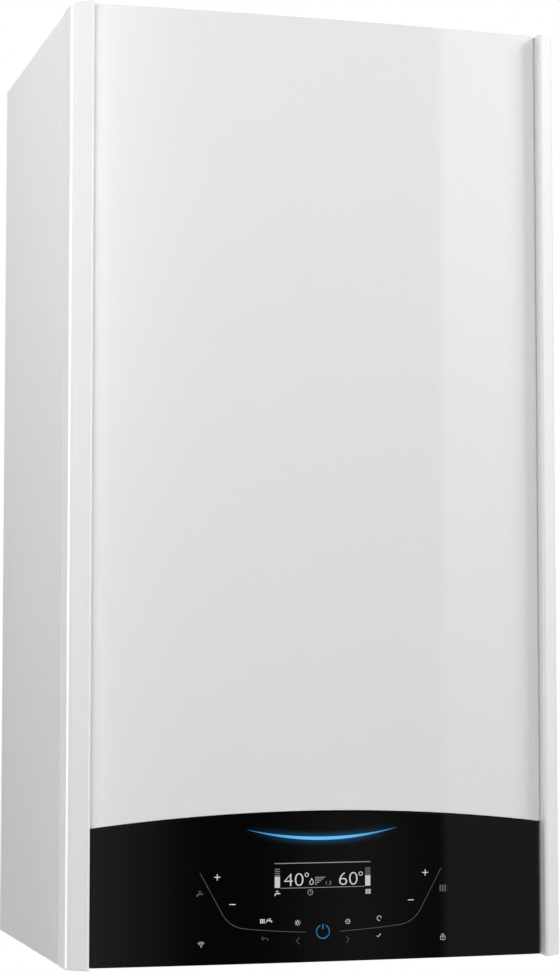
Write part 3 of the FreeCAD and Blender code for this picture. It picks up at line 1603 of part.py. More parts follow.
# Hydraulic side
def flow_block():
    across = ("0 - block_outer", "0 - block_inner")
    body = block("flow_body", across, ("block_back", "block_front"), ("block_low", "block_high"))
    at = ("diverter_across", "diverter_out")
    seat_up = ("diverter_seat", "block_high + overrun")
    seat = rod("diverter_well", "diverter_seat_radius", "up", seat_up, at)
    keep("flow_block", cut("flow_block", body, seat))


def return_block():
    across = ("block_inner", "block_outer")
    body = block("return_body", across, ("block_back", "block_front"), ("block_low", "block_high"))
    boss_across = about("filling_across", "filling_half")
    boss_out = ("block_front - overrun", "filling_front")
    boss = block("filling_boss", boss_across, boss_out, ("block_low", "filling_high"))
    bore_up = ("block_low - overrun", "filling_knob_top + filling_spindle + overrun")
    at = ("filling_across", "filling_out")
    bore = rod("filling_bore", "spindle_radius + running_clearance", "up", bore_up, at)
    keep("return_block", cut("return_block", join("return_solid", body, boss), bore))


def plate_exchanger():
    inner = "plate_half - plate_edge"
    core_up = ("plate_low + plate_edge", "plate_high - plate_edge")
    parts = [block("plate_core", both(inner), ("plate_back", "block_back"), core_up)]
    step = "(block_back - plate_back)/plate_count"
    total = count("plate_count")
    for index in range(total):
        begin = f"plate_back + {index}*{step}"
        if index + 1 == total:
            begin = f"block_back - {step}*plate_step_share"
        out = (begin, f"{begin} + {step}*plate_step_share")
        parts.append(block(f"plate_{index}", both("plate_half"), out, ("plate_low", "plate_high")))
    void_out = ("plate_back + plate_skin", "block_back - plate_skin")
    void_up = ("plate_low + plate_edge + plate_skin", "plate_high - plate_edge - plate_skin")
    tools = [block("plate_void", both(f"{inner} - plate_skin"), void_out, void_up)]
    for side, sign in SIDES.items():
        at = (f"{sign}*plate_port_across", "(plate_low + plate_high)/2")
        port_out = ("block_back - plate_skin - overrun", "block_back + overrun")
        tools.append(rod(f"plate_port_{side}", "plate_port", "out", port_out, at))
    keep("plate_exchanger", cut("plate_exchanger", join("plate_stack", *parts), *tools))


PUMP = ("pump_across", "pump_up")


def pump_housing():
    out = ("pump_back", "pump_front")
    drum = rod("pump_drum", "pump_radius", "out", out, PUMP)
    neck_across = about("pump_across", "pump_neck")
    neck_out = ("pump_back", "pump_front - pump_wall")
    neck = block("pump_foot", neck_across, neck_out, ("block_high", "pump_up"))
    port_at = ("pump_across", "port_out")
    port = rod("pump_riser", "pump_port", "up", ("pump_up", "pump_port_up"), port_at)
    vent_at = ("vent_across", "port_out")
    vent = rod("pump_vent_boss", "vent_boss_radius", "up", ("pump_up", "vent_boss_up"), vent_at)
    inside_out = ("pump_back + pump_wall", "pump_front + overrun")
    inside = rod("pump_inside", "pump_radius - pump_wall", "out", inside_out, PUMP)
    bore_up = ("pump_up", "pump_port_up + overrun")
    bore = rod("pump_riser_bore", "port_radius - port_wall", "up", bore_up, port_at)
    solid = join("pump_solid", drum, neck, port, vent)
    keep("pump_housing", cut("pump_housing", solid, inside, bore))


def pump_motor():
    can_out = ("pump_front", "pump_motor_front - pump_motor_cap")
    can = rod("pump_can", "pump_motor_radius", "out", can_out, PUMP)
    flange_out = ("pump_front", "pump_front + pump_wall")
    flange = rod("pump_can_rim", "pump_radius", "out", flange_out, PUMP)
    cap_out = ("pump_motor_front - pump_motor_cap", "pump_motor_front")
    radii = ("pump_motor_radius", "pump_motor_radius - pump_motor_cap")
    cap = cone("pump_can_cap", radii, "out", cap_out, PUMP)
    bore_out = ("pump_front - overrun", "rotor_front + rotor_shaft + overrun")
    bore = rod("pump_can_bore", "shaft_radius + running_clearance", "out", bore_out, PUMP)
    keep("pump_motor", cut("pump_motor", join("pump_can_solid", can, flange, cap), bore))


def pump_rotor():
    wheel_out = ("rotor_back", "rotor_front")
    wheel = rod("rotor_wheel", "rotor_radius", "out", wheel_out, PUMP)
    shaft_out = ("rotor_back", "rotor_front + rotor_shaft")
    shaft = rod("rotor_shaft_rod", "shaft_radius", "out", shaft_out, PUMP)
    eye_out = ("rotor_back - overrun", "rotor_back + rotor_depth/2")
    eye = sleeve("rotor_eye", "rotor_radius/2", "shaft_radius", "out", eye_out, PUMP)
    keep("pump_rotor", cut("pump_rotor", join("rotor_solid", wheel, shaft), eye))


def air_vent():
    at = ("vent_across", "port_out")
    top = "vent_boss_up + vent_height"
    body = rod("vent_body", "vent_radius", "up", ("vent_boss_up", top), at)
    cap = rod("vent_knob", "vent_cap_radius", "up", (top, f"{top} + vent_cap"), at)
    keep("air_vent", join("air_vent", body, cap))


def diverter():
    at = ("diverter_across", "diverter_out")
    can_up = ("block_high", "block_high + diverter_height")
    can = rod("diverter_can", "diverter_radius", "up", can_up, at)
    rod_top = "diverter_disc_low + spindle_length + diverter_stroke + overrun"
    bore = rod("diverter_bore", "spindle_radius + running_clearance", "up", ("block_low", rod_top), at)
    keep("diverter_motor", cut("diverter_motor", can, bore))
    disc_up = ("diverter_disc_low", "diverter_disc_low + diverter_disc")
    disc = rod("diverter_plug", "diverter_disc_radius", "up", disc_up, at)
    stem_up = ("diverter_disc_low", "diverter_disc_low + spindle_length")
    stem = rod("diverter_stem", "spindle_radius", "up", stem_up, at)
    keep("diverter_spindle", join("diverter_spindle", disc, stem))


def heating_pipes():
    flow = [
        ("flow_port_end", "port_out", "flow_port_up"),
        ("flow_pipe_across", "port_out", "flow_port_up"),
        ("flow_pipe_across", "port_out", "block_high"),
    ]
    bend = "pipe_bend - port_wall"
    keep("flow_pipe", pipe("flow_pipe", flow, "port_radius", "port_wall", bend))
    back = [
        ("return_port_end", "port_out", "return_port_up"),
        ("pump_across", "port_out", "return_port_up"),
        ("pump_across", "port_out", "pump_port_up"),
    ]
    keep("return_pipe", pipe("return_pipe", back, "port_radius", "port_wall", bend))


def condensate():
    at = ("trap_across", "trap_out")
    cup = rod("trap_cup", "trap_radius", "up", ("trap_low", "trap_high"), at)
    foot = cone("trap_cone", ("trap_foot", "trap_radius"), "up", ("base_sheet", "trap_low"), at)
    outlet = rod("trap_spigot", "trap_outlet", "up", ("0 - trap_drop", "trap_low"), at)
    neck = rod("trap_collar", "trap_neck", "up", ("trap_high", "trap_neck_top"), at)
    wall = "hose_wall"
    inside_up = (f"trap_low + {wall}", f"trap_high - {wall}")
    inside = rod("trap_inside", f"trap_radius - {wall}", "up", inside_up, at)
    bore_up = ("0 - trap_drop - overrun", "trap_neck_top + overrun")
    bore = rod("trap_bore", f"drain_radius - {wall}", "up", bore_up, at)
    band = shoulder("trap", "trap_outlet", at)
    solid = join("trap_solid", cup, foot, outlet, neck, band)
    keep("condensate_trap", cut("condensate_trap", solid, inside, bore))
    route = [
        ("drain_across", "drain_out", "drain_low"),
        ("drain_across", "drain_out", "hose_turn_up"),
        ("trap_across", "trap_out", "hose_end_up"),
        ("trap_across", "trap_out", "trap_neck_top"),
    ]
    keep("condensate_hose", pipe("condensate_hose", route, "drain_radius", "hose_wall"))


def knob(name, radius, along, span, centre):
    """A round knob with notches around its rim."""
    tools = []
    total = count("knob_notch_count")
    for index in range(total):
        turn = math.radians(360 * index / total)
        first = f"{centre[0]} + {math.cos(turn):.9f}*({radius} + knob_notch/2)"
        second = f"{centre[1]} + {math.sin(turn):.9f}*({radius} + knob_notch/2)"
        longer = (f"{span[0]} - overrun", f"{span[1]} + overrun")
        tools.append(rod(f"{name}_notch_{index}", "knob_notch", along, longer, (first, second)))
    return cut(f"{name}_grip", rod(f"{name}_disc", radius, along, span, centre), *tools)


def relief():
    at = ("relief_across", "relief_up")
    body = rod("relief_body", "relief_radius", "out", ("block_front", "relief_front"), at)
    drop_at = ("relief_across", "relief_outlet_out")
    drop_up = ("0 - relief_drop", "relief_up")
    drop = rod("relief_drop_pipe", "relief_outlet", "up", drop_up, drop_at)
    bore_out = ("relief_front - knob_spindle + overrun/2", "relief_front + overrun")
    bore = rod("relief_bore", "spindle_radius + running_clearance", "out", bore_out, at)
    drop_cut = ("0 - relief_drop - overrun", "relief_up - relief_radius/2")
    drop_bore = rod("relief_drop_bore", "relief_outlet - pipe_wall", "up", drop_cut, drop_at)
    band = shoulder("relief", "relief_outlet", drop_at)
    solid = join("relief_solid", body, drop, band)
    keep("relief_valve", cut("relief_valve", solid, bore, drop_bore))
    knob_out = ("relief_knob_back", "relief_knob_back + relief_knob_depth")
    grip = knob("relief_knob", "relief_knob_radius", "out", knob_out, at)
    stem_out = ("relief_front - knob_spindle + overrun", "relief_knob_back + relief_knob_depth/2")
    stem = rod("relief_stem", "spindle_radius", "out", stem_out, at)
    keep("relief_knob", join("relief_knob", grip, stem))


def filling_knob():
    at = ("filling_across", "filling_out")
    knob_up = ("filling_knob_top - filling_knob_depth", "filling_knob_top")
    grip = knob("filling_knob", "filling_knob_radius", "up", knob_up, at)
    stem_up = ("filling_knob_top - filling_knob_depth/2", "filling_knob_top + filling_spindle")
    stem = rod("filling_stem", "spindle_radius", "up", stem_up, at)
    keep("filling_knob", join("filling_knob", grip, stem))


def cable_gland():
    at = ("gland_across", "gland_out")
    head = hexagon("gland_hex", "gland_head", "up", ("0 - gland_drop/2", "0"), at)
    dome_up = ("0 - gland_drop", "0 - gland_drop/2")
    dome = cone("gland_dome", ("gland_radius", "gland_head - pipe_wall"), "up", dome_up, at)
    thread = rod("gland_thread", "gland_radius", "up", ("0 - gland_drop/2", "gland_rise"), at)
    nut = hexagon("gland_nut", "gland_head", "up", ("base_sheet", "base_sheet + gland_nut_rise"), at)
    bore_up = ("0 - gland_drop - overrun", "gland_rise + overrun")
    bore = rod("gland_hole", "gland_bore", "up", bore_up, at)
    keep("cable_gland", cut("cable_gland", join("gland_solid", head, dome, thread, nut), bore))


back_frame()
side_panels()
top_plate()
bottom_plate()
chamber_floor()
floor_grommets()
chamber_gasket()
chamber_cover()
cover_clips()
front_panel()
trim_rails()
casing_pegs()
casing_screws()
fascia()
control_box()
control_box_cover()
boards()
display_module()
light_guide()
hinge_brackets()
hinge_pins()
flue_collar()
flue_duct()
exchanger_shell()
exchanger_coil()
burner_door()
door_insulation()
burner_tube()
door_nuts()
spark_electrode()
fan_housing()
fan_impeller()
fan_motor()
air_gas_mixer()
gas_valve()
gas_pipes()
connection_tails()
expansion_vessel()
vessel_pipe()
flow_block()
return_block()
plate_exchanger()
pump_housing()
pump_motor()
pump_rotor()
air_vent()
diverter()
heating_pipes()
condensate()
relief()
filling_knob()
cable_gland()
doc.recompute()

# Check every object, then write one file for each sub-part
faults = []
for item in doc.Objects:
    if "Invalid" in item.State or "Error" in item.State:
        faults.append(f"{item.Name} did not recompute")
for item in pieces:
    if item.Shape.isNull() or not item.Shape.isValid() or not item.Shape.Solids:
        faults.append(f"{item.Label} has no valid solid")
if faults:
    raise RuntimeError("; ".join(faults))
os.makedirs("parts", exist_ok=True)
for item in pieces:
    item.Shape.exportStep(f"parts/{item.Label}.step")
print(len(pieces), "sub-parts written")
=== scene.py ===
import json
import math

import bmesh
import bpy
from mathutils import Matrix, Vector

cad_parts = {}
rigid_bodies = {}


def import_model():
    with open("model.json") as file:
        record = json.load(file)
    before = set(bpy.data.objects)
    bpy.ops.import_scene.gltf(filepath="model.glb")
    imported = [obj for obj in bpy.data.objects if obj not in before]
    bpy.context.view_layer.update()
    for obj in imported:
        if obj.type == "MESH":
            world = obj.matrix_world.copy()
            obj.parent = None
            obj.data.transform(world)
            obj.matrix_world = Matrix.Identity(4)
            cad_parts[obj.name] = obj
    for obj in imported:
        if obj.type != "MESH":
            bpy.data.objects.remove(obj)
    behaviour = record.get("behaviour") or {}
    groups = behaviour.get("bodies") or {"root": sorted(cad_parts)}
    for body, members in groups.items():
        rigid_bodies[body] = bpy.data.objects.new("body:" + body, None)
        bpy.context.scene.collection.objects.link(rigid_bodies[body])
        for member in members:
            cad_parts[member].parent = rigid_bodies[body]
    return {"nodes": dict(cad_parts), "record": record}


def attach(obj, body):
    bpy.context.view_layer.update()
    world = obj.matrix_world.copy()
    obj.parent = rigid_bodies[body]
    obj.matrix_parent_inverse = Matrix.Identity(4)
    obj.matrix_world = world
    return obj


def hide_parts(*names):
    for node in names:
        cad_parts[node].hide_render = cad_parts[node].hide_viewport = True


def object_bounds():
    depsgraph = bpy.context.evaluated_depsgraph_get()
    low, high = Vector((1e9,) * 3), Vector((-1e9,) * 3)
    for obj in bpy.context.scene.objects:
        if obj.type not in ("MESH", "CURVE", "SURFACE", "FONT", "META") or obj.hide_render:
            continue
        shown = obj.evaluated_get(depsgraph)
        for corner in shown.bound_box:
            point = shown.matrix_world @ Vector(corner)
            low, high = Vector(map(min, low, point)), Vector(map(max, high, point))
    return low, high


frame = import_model()
CAD_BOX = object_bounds()

bl_info = {
    "name": "Wall-hung boiler",
    "version": (1, 0, 0),
    "blender": (4, 5, 0),
    "location": "View3D > Sidebar > Boiler",
    "description": "Builds the looks of a wall-hung gas boiler around its packed CAD frame",
    "category": "Object",
}

MM = 0.001
# Width over which a sharp edge is shaded as rounded, in millimetres.
EDGE = 0.7
# The row's origin lies this far above the underside of the casing.
HANG_UP = 700.0


def linear(colour):
    """An sRGB hex colour as linear RGB with full alpha."""
    parts = [int(colour[i:i + 2], 16) / 255 for i in (1, 3, 5)]
    return (*[c / 12.92 if c <= 0.04045 else ((c + 0.055) / 1.055) ** 2.4 for c in parts], 1.0)


def at(across, out, up):
    """A place given in millimetres across, out from the wall and up from the casing's underside."""
    return Vector((across * MM, -out * MM, (up - HANG_UP) * MM))


def per(size):
    """The texture scale whose features are about this many millimetres wide."""
    return 1000.0 / size


# ---- settings


def colour_setting(name, description, colour):
    """A colour for the panel, from its hex value."""
    return bpy.props.FloatVectorProperty(
        name=name, description=description, subtype="COLOR", size=4, min=0, max=1, default=linear(colour))


def power_setting(name, description, power):
    """A lamp's power for the panel."""
    return bpy.props.FloatProperty(name=name, description=description, subtype="POWER", default=power, min=0)


class CasingSettings(bpy.types.PropertyGroup):
    """Colours of the casing"""
    enamel: colour_setting("Enamel", "Colour of the powder-coated sheets", "#F3F3F3")
    rail: colour_setting("Rails", "Colour of the moulded trim rails", "#F5F5F5")
    fascia: colour_setting("Fascia", "Colour of the touch fascia", "#040504")


class DisplaySettings(bpy.types.PropertyGroup):
    """What the display shows, and its colours"""
    left_number: bpy.props.StringProperty(
        name="Left number", description="Plain number at the left of the display", default="40")
    right_number: bpy.props.StringProperty(
        name="Right number", description="Plain number at the right of the display", default="60")
    middle_number: bpy.props.StringProperty(
        name="Middle number", description="Small plain number between the other two", default="1.2")
    white: colour_setting("Lit white", "Colour of the lit display", "#EEF1F3")
    blue: colour_setting("Lit blue", "Colour of the crescent and the standby ring", "#3FA9F0")


class StageSettings(bpy.types.PropertyGroup):
    """Camera, floor and lamps"""
    lens: bpy.props.FloatProperty(
        name="Lens", description="Focal length for a 36 mm wide sensor", default=90.6, min=10, unit="CAMERA")
    stand: bpy.props.FloatVectorProperty(
        name="Camera place", description="Where the camera stands", subtype="TRANSLATION", size=3,
        default=(-0.5556, -2.1552, -0.4763))
    turn: bpy.props.FloatVectorProperty(
        name="Camera turn", description="How the camera is turned", subtype="EULER", size=3,
        default=(math.radians(94.37), 0.0, math.radians(-15.82)))
    floor_drop: bpy.props.FloatProperty(
        name="Floor drop", description="How far the floor lies below the hung casing", subtype="DISTANCE",
        default=0.5, min=0)
    key_power: power_setting("Key lamp", "Power of the lamp in front at the left", 14.1)
    left_power: power_setting("Left lamp", "Power of the lamp at the left side", 3.7)
    right_power: power_setting("Right lamp", "Power of the lamp high at the right", 30.8)
    ambient: bpy.props.FloatProperty(
        name="Ambient", description="Brightness of the room for diffuse light", default=0.12, min=0)


# ---- materials


def node(near, kind, inputs=None, to=None, **settings):
    """Adds a node to a tree, or to that of a node or socket. Its inputs are values, hex colours or sockets to link,
    and it may feed a target node, which is given with the target's input and the node's own output."""
    tree = near.id_data
    made = tree.nodes.new("ShaderNode" + kind)
    for key, value in settings.items():
        setattr(made, key, value)
    for key, value in (inputs or {}).items():
        if isinstance(value, bpy.types.NodeSocket):
            tree.links.new(value, made.inputs[key])
        else:
            made.inputs[key].default_value = linear(value) if isinstance(value, str) else value
    if to:
        target, key, output = to
        tree.links.new(made.outputs[output], target.inputs[key])
    return made


def noise(coords, size, detail, **more):
    """A cloudy mask with features about this many millimetres wide."""
    inputs = {"Vector": coords, "Scale": per(size), "Detail": detail, **more}
    return node(coords, "TexNoise", inputs).outputs["Fac"]


def maths(operation, first, *others):
    """The result of an operation on a socket and up to two more values, each a number or a socket."""
    return node(first, "Math", dict(enumerate((first, *others))), operation=operation).outputs[0]


def ramp(value, start, end, low=0.0, high=1.0, shape="SMOOTHSTEP"):
    """Goes from low to high while a value goes from start to end, and stays level beyond."""
    inputs = {"Value": value, "From Min": start, "From Max": end, "To Min": low, "To Max": high}
    return node(value, "MapRange", inputs, interpolation_type=shape).outputs["Result"]


def aside(coords):
    """The distance to either side of the middle."""
    parts = node(coords, "SeparateXYZ", {"Vector": coords})
    return maths("ABSOLUTE", parts.outputs["X"])


def stretched(coords, scale):
    """Coordinates scaled differently along each axis."""
    return node(coords, "Mapping", {"Vector": coords, "Scale": scale}).outputs["Vector"]


def tint(shader, socket, mask, first, second):
    """Blends two colours by a mask into a colour socket of a shader."""
    node(shader, "Mix", {0: mask, 6: first, 7: second}, (shader, socket, 2), data_type="RGBA")


def feed(shader, key, socket):
    """Links a socket to an input of a shader."""
    shader.id_data.links.new(socket, shader.inputs[key])


def shaded(colour, factor):
    """A colour whose brightness is multiplied by a factor."""
    return (*[min(1.0, c * factor) for c in colour[:3]], 1.0)


def surface(name, **values):
    """A new material with its shader, and the Object coordinates that its patterns read."""
    material = bpy.data.materials.new(name)
    material.use_nodes = True
    tree = material.node_tree
    tree.nodes.clear()
    end = node(tree, "OutputMaterial")
    inputs = {key.replace("_", " "): value for key, value in values.items()}
    shader = node(tree, "BsdfPrincipled", inputs, (end, "Surface", "BSDF"))
    coords = node(tree, "TexCoord").outputs["Object"]
    return material, shader, coords


def vary(shader, mask, first, second, dull, sharp):
    """Lets a mask swing a surface between two colours and two roughnesses."""
    tint(shader, "Base Color", mask, first, second)
    feed(shader, "Roughness", ramp(mask, 0.0, 1.0, sharp, dull, "LINEAR"))


def raise_up(shader, height, depth, strength):
    """Gives a surface relief of this depth, in millimetres, from a height mask, and edges that catch the light."""
    edge = node(shader, "Bevel", {"Radius": EDGE * MM}, samples=4).outputs["Normal"]
    inputs = {"Height": height, "Normal": edge, "Strength": strength, "Distance": depth * MM}
    node(shader, "Bump", inputs, (shader, "Normal", "Normal"))


def clouded(name, colours, roughness, cloud, grain, values, **more):
    """A surface that drifts between two colours and two roughnesses in clouds, with a fine grain in relief.

    A cloud has a size and a detail. A grain has a size, a depth and a strength. Sizes are in millimetres."""
    material, shader, coords = surface(name, **values)
    vary(shader, noise(coords, *cloud, **more), *colours, *roughness)
    size, depth, strength = grain
    raise_up(shader, noise(coords, size, 2.0), depth, strength)
    return material


# Painted shade beside a seam, where the rails shade the panel: how far it reaches, in millimetres, and how much it
# darkens the coat.
SEAM_SHADE_REACH = 11.0
SEAM_SHADE_FACTOR = 0.86


def powder_coat(name, colour, shade, coat, dull, index, seam=0.0):
    """Powder-coated sheet steel: an even soft gloss, with a faint orange peel that breaks up reflections.

    Painted shade darkens the colour towards seams this far, in millimetres, to either side of the middle, where the
    rails shade the panel."""
    material, shader, coords = surface(name, IOR=index, Coat_Weight=coat, Coat_Roughness=0.03, Coat_IOR=1.7)
    vary(shader, noise(coords, 220, 3.0), colour, shade, dull, dull - 0.08)
    if seam:
        # Painted shade: the coat's colour darkens towards the seams beside the rails, standing in for their shadow.
        unshaded = shader.inputs["Base Color"].links[0].from_socket
        close = ramp(aside(coords), (seam - SEAM_SHADE_REACH) * MM, seam * MM)
        tint(shader, "Base Color", close, unshaded, shaded(colour, SEAM_SHADE_FACTOR))
    # Real orange peel is about 1 mm wide and is drawn at 2.5 mm so that it shows.
    raise_up(shader, noise(coords, 2.5, 1.0), 0.02, 0.06)
    return material


def moulded(name, colour, shade, dull=0.46, sharp=0.34, depth=0.03):
    """Injection-moulded plastic: a fine spark-eroded grain, and slow drifts in gloss where it cooled."""
    # The real grain is about 0.2 mm and is drawn at 0.9 mm so that it shows.
    return clouded(name, (colour, shade), (dull, sharp), (60, 4.0), (0.9, depth, 0.3), {"IOR": 1.53})


# The crescent over the display: half its span, the height of its tips, and the drop of its two arcs, in millimetres.
CRESCENT = {"half": 61.7, "tip_up": 103.8, "sags": (9.0, 6.5)}
# Its light's bleed: the reach either side of the arc, the distances aside between which it fades, and its power.
BLEED = {"reach": 10.0, "near": 8.0, "far": 64.0, "steepness": 3.0, "strength": 0.11}


def black_acrylic(colour, glow):
    """Back-painted acrylic with a hard coat: near black and smooth, with wiping smears, and blue light bleeding
    through around the crescent."""
    material, shader, coords = surface("back_painted_acrylic", IOR=1.33, Emission_Color=glow)
    smear = noise(stretched(coords, (1.0, 1.0, 3.0)), 45, 5.0, Roughness=0.6)
    vary(shader, smear, colour, shaded(colour, 1.5), 0.06, 0.02)
    half, sag = CRESCENT["half"], sum(CRESCENT["sags"]) / 2
    radius = (half * half + sag * sag) / (2 * sag)
    centre = at(0, 0, CRESCENT["tip_up"] - sag + radius)
    flat = node(coords, "VectorMath", {0: coords, 1: (1.0, 0.0, 1.0)}, operation="MULTIPLY").outputs[0]
    span = node(coords, "VectorMath", {0: flat, 1: centre}, operation="DISTANCE").outputs["Value"]
    gap = maths("ABSOLUTE", maths("SUBTRACT", span, radius * MM))
    close = ramp(gap, 0.0, BLEED["reach"] * MM, 1.0, 0.0, "SMOOTHERSTEP")
    along = ramp(aside(coords), BLEED["near"] * MM, BLEED["far"] * MM, 1.0, 0.0)
    bleed = maths("MULTIPLY", maths("POWER", close, BLEED["steepness"]), along)
    feed(shader, "Emission Strength", maths("MULTIPLY", bleed, BLEED["strength"]))
    return material


def backlit(name, middle, tip, reach, strength):
    """Backlit acrylic: even light whose colour deepens away from the lamp behind its middle."""
    material, shader, coords = surface(
        name, IOR=1.49, Base_Color="#0A0B0C", Emission_Strength=strength, Roughness=0.25)
    far = ramp(aside(coords), 0.15 * reach * MM, reach * MM)
    uneven = maths("MULTIPLY_ADD", noise(coords, 2.5, 1.0), 0.12, far)
    tint(shader, "Emission Color", uneven, middle, tip)
    return material


def printed(name, colour, shade, strength):
    """Screen-printed ink under a touch film: flat and slightly uneven, with a little light from behind."""
    material, shader, coords = surface(name, IOR=1.5, Emission_Strength=strength)
    ink = noise(coords, 1.5, 3.0)
    vary(shader, ink, colour, shade, 0.5, 0.35)
    tint(shader, "Emission Color", ink, colour, shade)
    return material


def galvanised():
    """Hot-dip galvanised sheet: zinc crystals a centimetre across, each turned to catch the light differently."""
    material, shader, coords = surface("galvanised_sheet", Metallic=1.0)
    crystals = node(coords, "TexVoronoi", {"Vector": coords, "Scale": per(11), "Randomness": 1.0})
    spangle = node(coords, "SeparateColor", {"Color": crystals.outputs["Color"]}).outputs["Red"]
    frost = noise(coords, 3, 4.0)
    mask = maths("MULTIPLY", maths("MULTIPLY_ADD", spangle, 0.65, frost), 0.62)
    vary(shader, mask, "#B4B8BA", "#D3D6D7", 0.5, 0.3)
    raise_up(shader, frost, 0.02, 0.25)
    return material


def brushed_stainless():
    """Brushed stainless steel: fine parallel scratches that draw highlights out into streaks."""
    material, shader, coords = surface("brushed_stainless", Metallic=1.0, Anisotropic=0.4)
    # Brush lines are about 0.1 mm apart and are drawn at 0.7 mm so that they show.
    lines = noise(stretched(coords, (0.04, 1.0, 1.0)), 0.7, 3.0)
    vary(shader, lines, "#B9B8B4", "#D6D5D1", 0.38, 0.22)
    raise_up(shader, lines, 0.01, 0.2)
    return material


def cast_aluminium():
    """Die-cast aluminium: a satin grey skin with a sandy grain and darker flow marks."""
    return clouded("cast_aluminium", ("#A8ABAD", "#C9CBCC"), (0.58, 0.4), (25, 5.0),
                   (0.9, 0.06, 0.35), {"Metallic": 1.0}, Distortion=0.8)


def tarnished(name, bright, dark, size, dull, sharp):
    """Bare copper alloy: bright metal that has darkened in soft clouds where hands and flux touched it."""
    return clouded(name, (bright, dark), (dull, sharp), (size, 6.0), (1.2, 0.02, 0.25), {"Metallic": 1.0},
                   Roughness=0.65, Distortion=0.6)


def rubber():
    """Moulded rubber: matt black with a bloom of grey dust."""
    return clouded("moulded_rubber", ("#121212", "#2A2A29"), (0.85, 0.65), (8, 5.0),
                   (0.8, 0.04, 0.4), {"IOR": 1.52})


def red_lacquer():
    """Sprayed red lacquer on pressed steel: a wet gloss with slight runs and a fine spray texture."""
    return clouded("sprayed_red_lacquer", ("#A81D1A", "#C02A22"), (0.45, 0.3), (70, 4.0),
                   (2, 0.05, 0.3), {"IOR": 1.5, "Coat_Weight": 0.4, "Coat_Roughness": 0.12})


def circuit_board():
    """Printed circuit board: green solder mask over a grid of copper tracks that show as paler lines."""
    material, shader, coords = surface("solder_masked_board", IOR=1.5)
    flat = node(coords, "Mapping", {"Vector": coords, "Rotation": (math.radians(90), 0.0, 0.0)})
    tracks = node(coords, "TexBrick", {
        "Vector": flat.outputs[0], "Scale": per(24), "Mortar Size": 0.035, "Mortar Smooth": 0.1,
        "Color1": (0, 0, 0, 1), "Color2": (0.25, 0.25, 0.25, 1), "Mortar": (1, 1, 1, 1),
        "Brick Width": 0.7, "Row Height": 0.16}, offset=0.37, squash=0.6)
    mask = node(coords, "SeparateColor", {"Color": tracks.outputs["Color"]}).outputs["Red"]
    vary(shader, mask, "#0E5132", "#2B7A4E", 0.34, 0.28)
    raise_up(shader, mask, 0.04, 0.4)
    return material


def display_glass():
    """Display glass: black, with the faint rows of an unlit pixel grid behind it."""
    material, shader, coords = surface("display_glass", IOR=1.52)
    # Pixel rows are about 0.3 mm apart and are drawn at 1 mm so that they show.
    rows = node(coords, "TexWave", {"Vector": coords, "Scale": per(math.tau)}, bands_direction="Z")
    vary(shader, rows.outputs["Fac"], "#07090B", "#101418", 0.1, 0.06)
    return material


def clear_acrylic():
    """Moulded clear acrylic: a pale, slightly frosted light guide."""
    material, shader, coords = surface("frosted_acrylic", IOR=1.49, Transmission_Weight=0.7)
    vary(shader, noise(coords, 1.5, 3.0), "#DCEBF5", "#F2F8FC", 0.35, 0.2)
    return material


def ceramic_fibre():
    """Pressed ceramic fibre: a chalky off-white felt with loose fibres and dents."""
    material, shader, coords = surface("ceramic_fibre", IOR=1.45, Sheen_Weight=0.3)
    fibres = noise(stretched(coords, (1.0, 1.0, 0.25)), 1.4, 6.0, Distortion=1.5)
    vary(shader, fibres, "#CFC7B6", "#E9E3D6", 0.98, 0.9)
    raise_up(shader, fibres, 0.3, 0.6)
    return material


FINISHES = {}
# Nodes whose finish differs from that of the rest of their slot.
OWN_FINISH = {"side_panel_left": "side_enamel", "side_panel_right": "side_enamel"}


def make_finishes(casing, display):
    """Makes one material for every finish, with the colours that the settings hold."""
    enamel, rail, white, blue = [tuple(c) for c in (casing.enamel, casing.rail, display.white, display.blue)]
    dimmer, pale = shaded(enamel, 0.97), "#D3D8DB"
    FINISHES.update({
        "white_enamel": powder_coat(
            "powder_coated_steel", enamel, dimmer, coat=0.9, dull=0.42, index=1.5, seam=PANEL["half"]),
        "side_enamel": powder_coat("textured_powder_coat", enamel, dimmer, coat=0.0, dull=0.6, index=1.22),
        "white_plastic": moulded("moulded_white_abs", rail, shaded(rail, 0.98), dull=0.14, sharp=0.09, depth=0.01),
        "black_acrylic": black_acrylic(tuple(casing.fascia), blue),
        "lit_display": backlit("lit_display", white, pale, reach=60, strength=0.74),
        "lit_dim": backlit("lit_display_dimmed", white, pale, reach=60, strength=0.36),
        "lit_blue": backlit("lit_standby_ring", blue, "#2580AE", reach=9, strength=0.46),
        "lit_crescent": backlit("lit_crescent", "#6CC4FA", "#2B84C6", reach=66, strength=0.95),
        "printed_white": printed("printed_white_ink", "#DDE0E0", "#C4C8C8", strength=0.25),
        "printed_soft": printed("printed_soft_ink", "#B6BABA", "#A3A7A7", strength=0.16),
        "printed_grey": printed("printed_grey_ink", "#5C6060", "#4B4F4F", strength=0.05),
        "zinc_steel": galvanised(),
        "stainless": brushed_stainless(),
        "aluminium": cast_aluminium(),
        "copper": tarnished("drawn_copper", "#CF8459", "#8E4F35", size=28, dull=0.42, sharp=0.2),
        "brass": tarnished("turned_brass", "#CDAE66", "#9A7B40", size=22, dull=0.4, sharp=0.22),
        "black_plastic": moulded("moulded_black_nylon", "#161718", "#212324", dull=0.52, sharp=0.4),
        "grey_plastic": moulded("moulded_grey_abs", "#84888B", "#94989B"),
        "pale_plastic": moulded("moulded_pale_nylon", "#D3D1C8", "#E2E0D8"),
        "rubber": rubber(),
        "red_enamel": red_lacquer(),
        "red_plastic": moulded("moulded_red_nylon", "#B5161A", "#CB2A27"),
        "blue_plastic": moulded("moulded_blue_nylon", "#1B4E9E", "#2C66B8"),
        "board_green": circuit_board(),
        "display_glass": display_glass(),
        "light_guide": clear_acrylic(),
        "ceramic": ceramic_fibre(),
    })


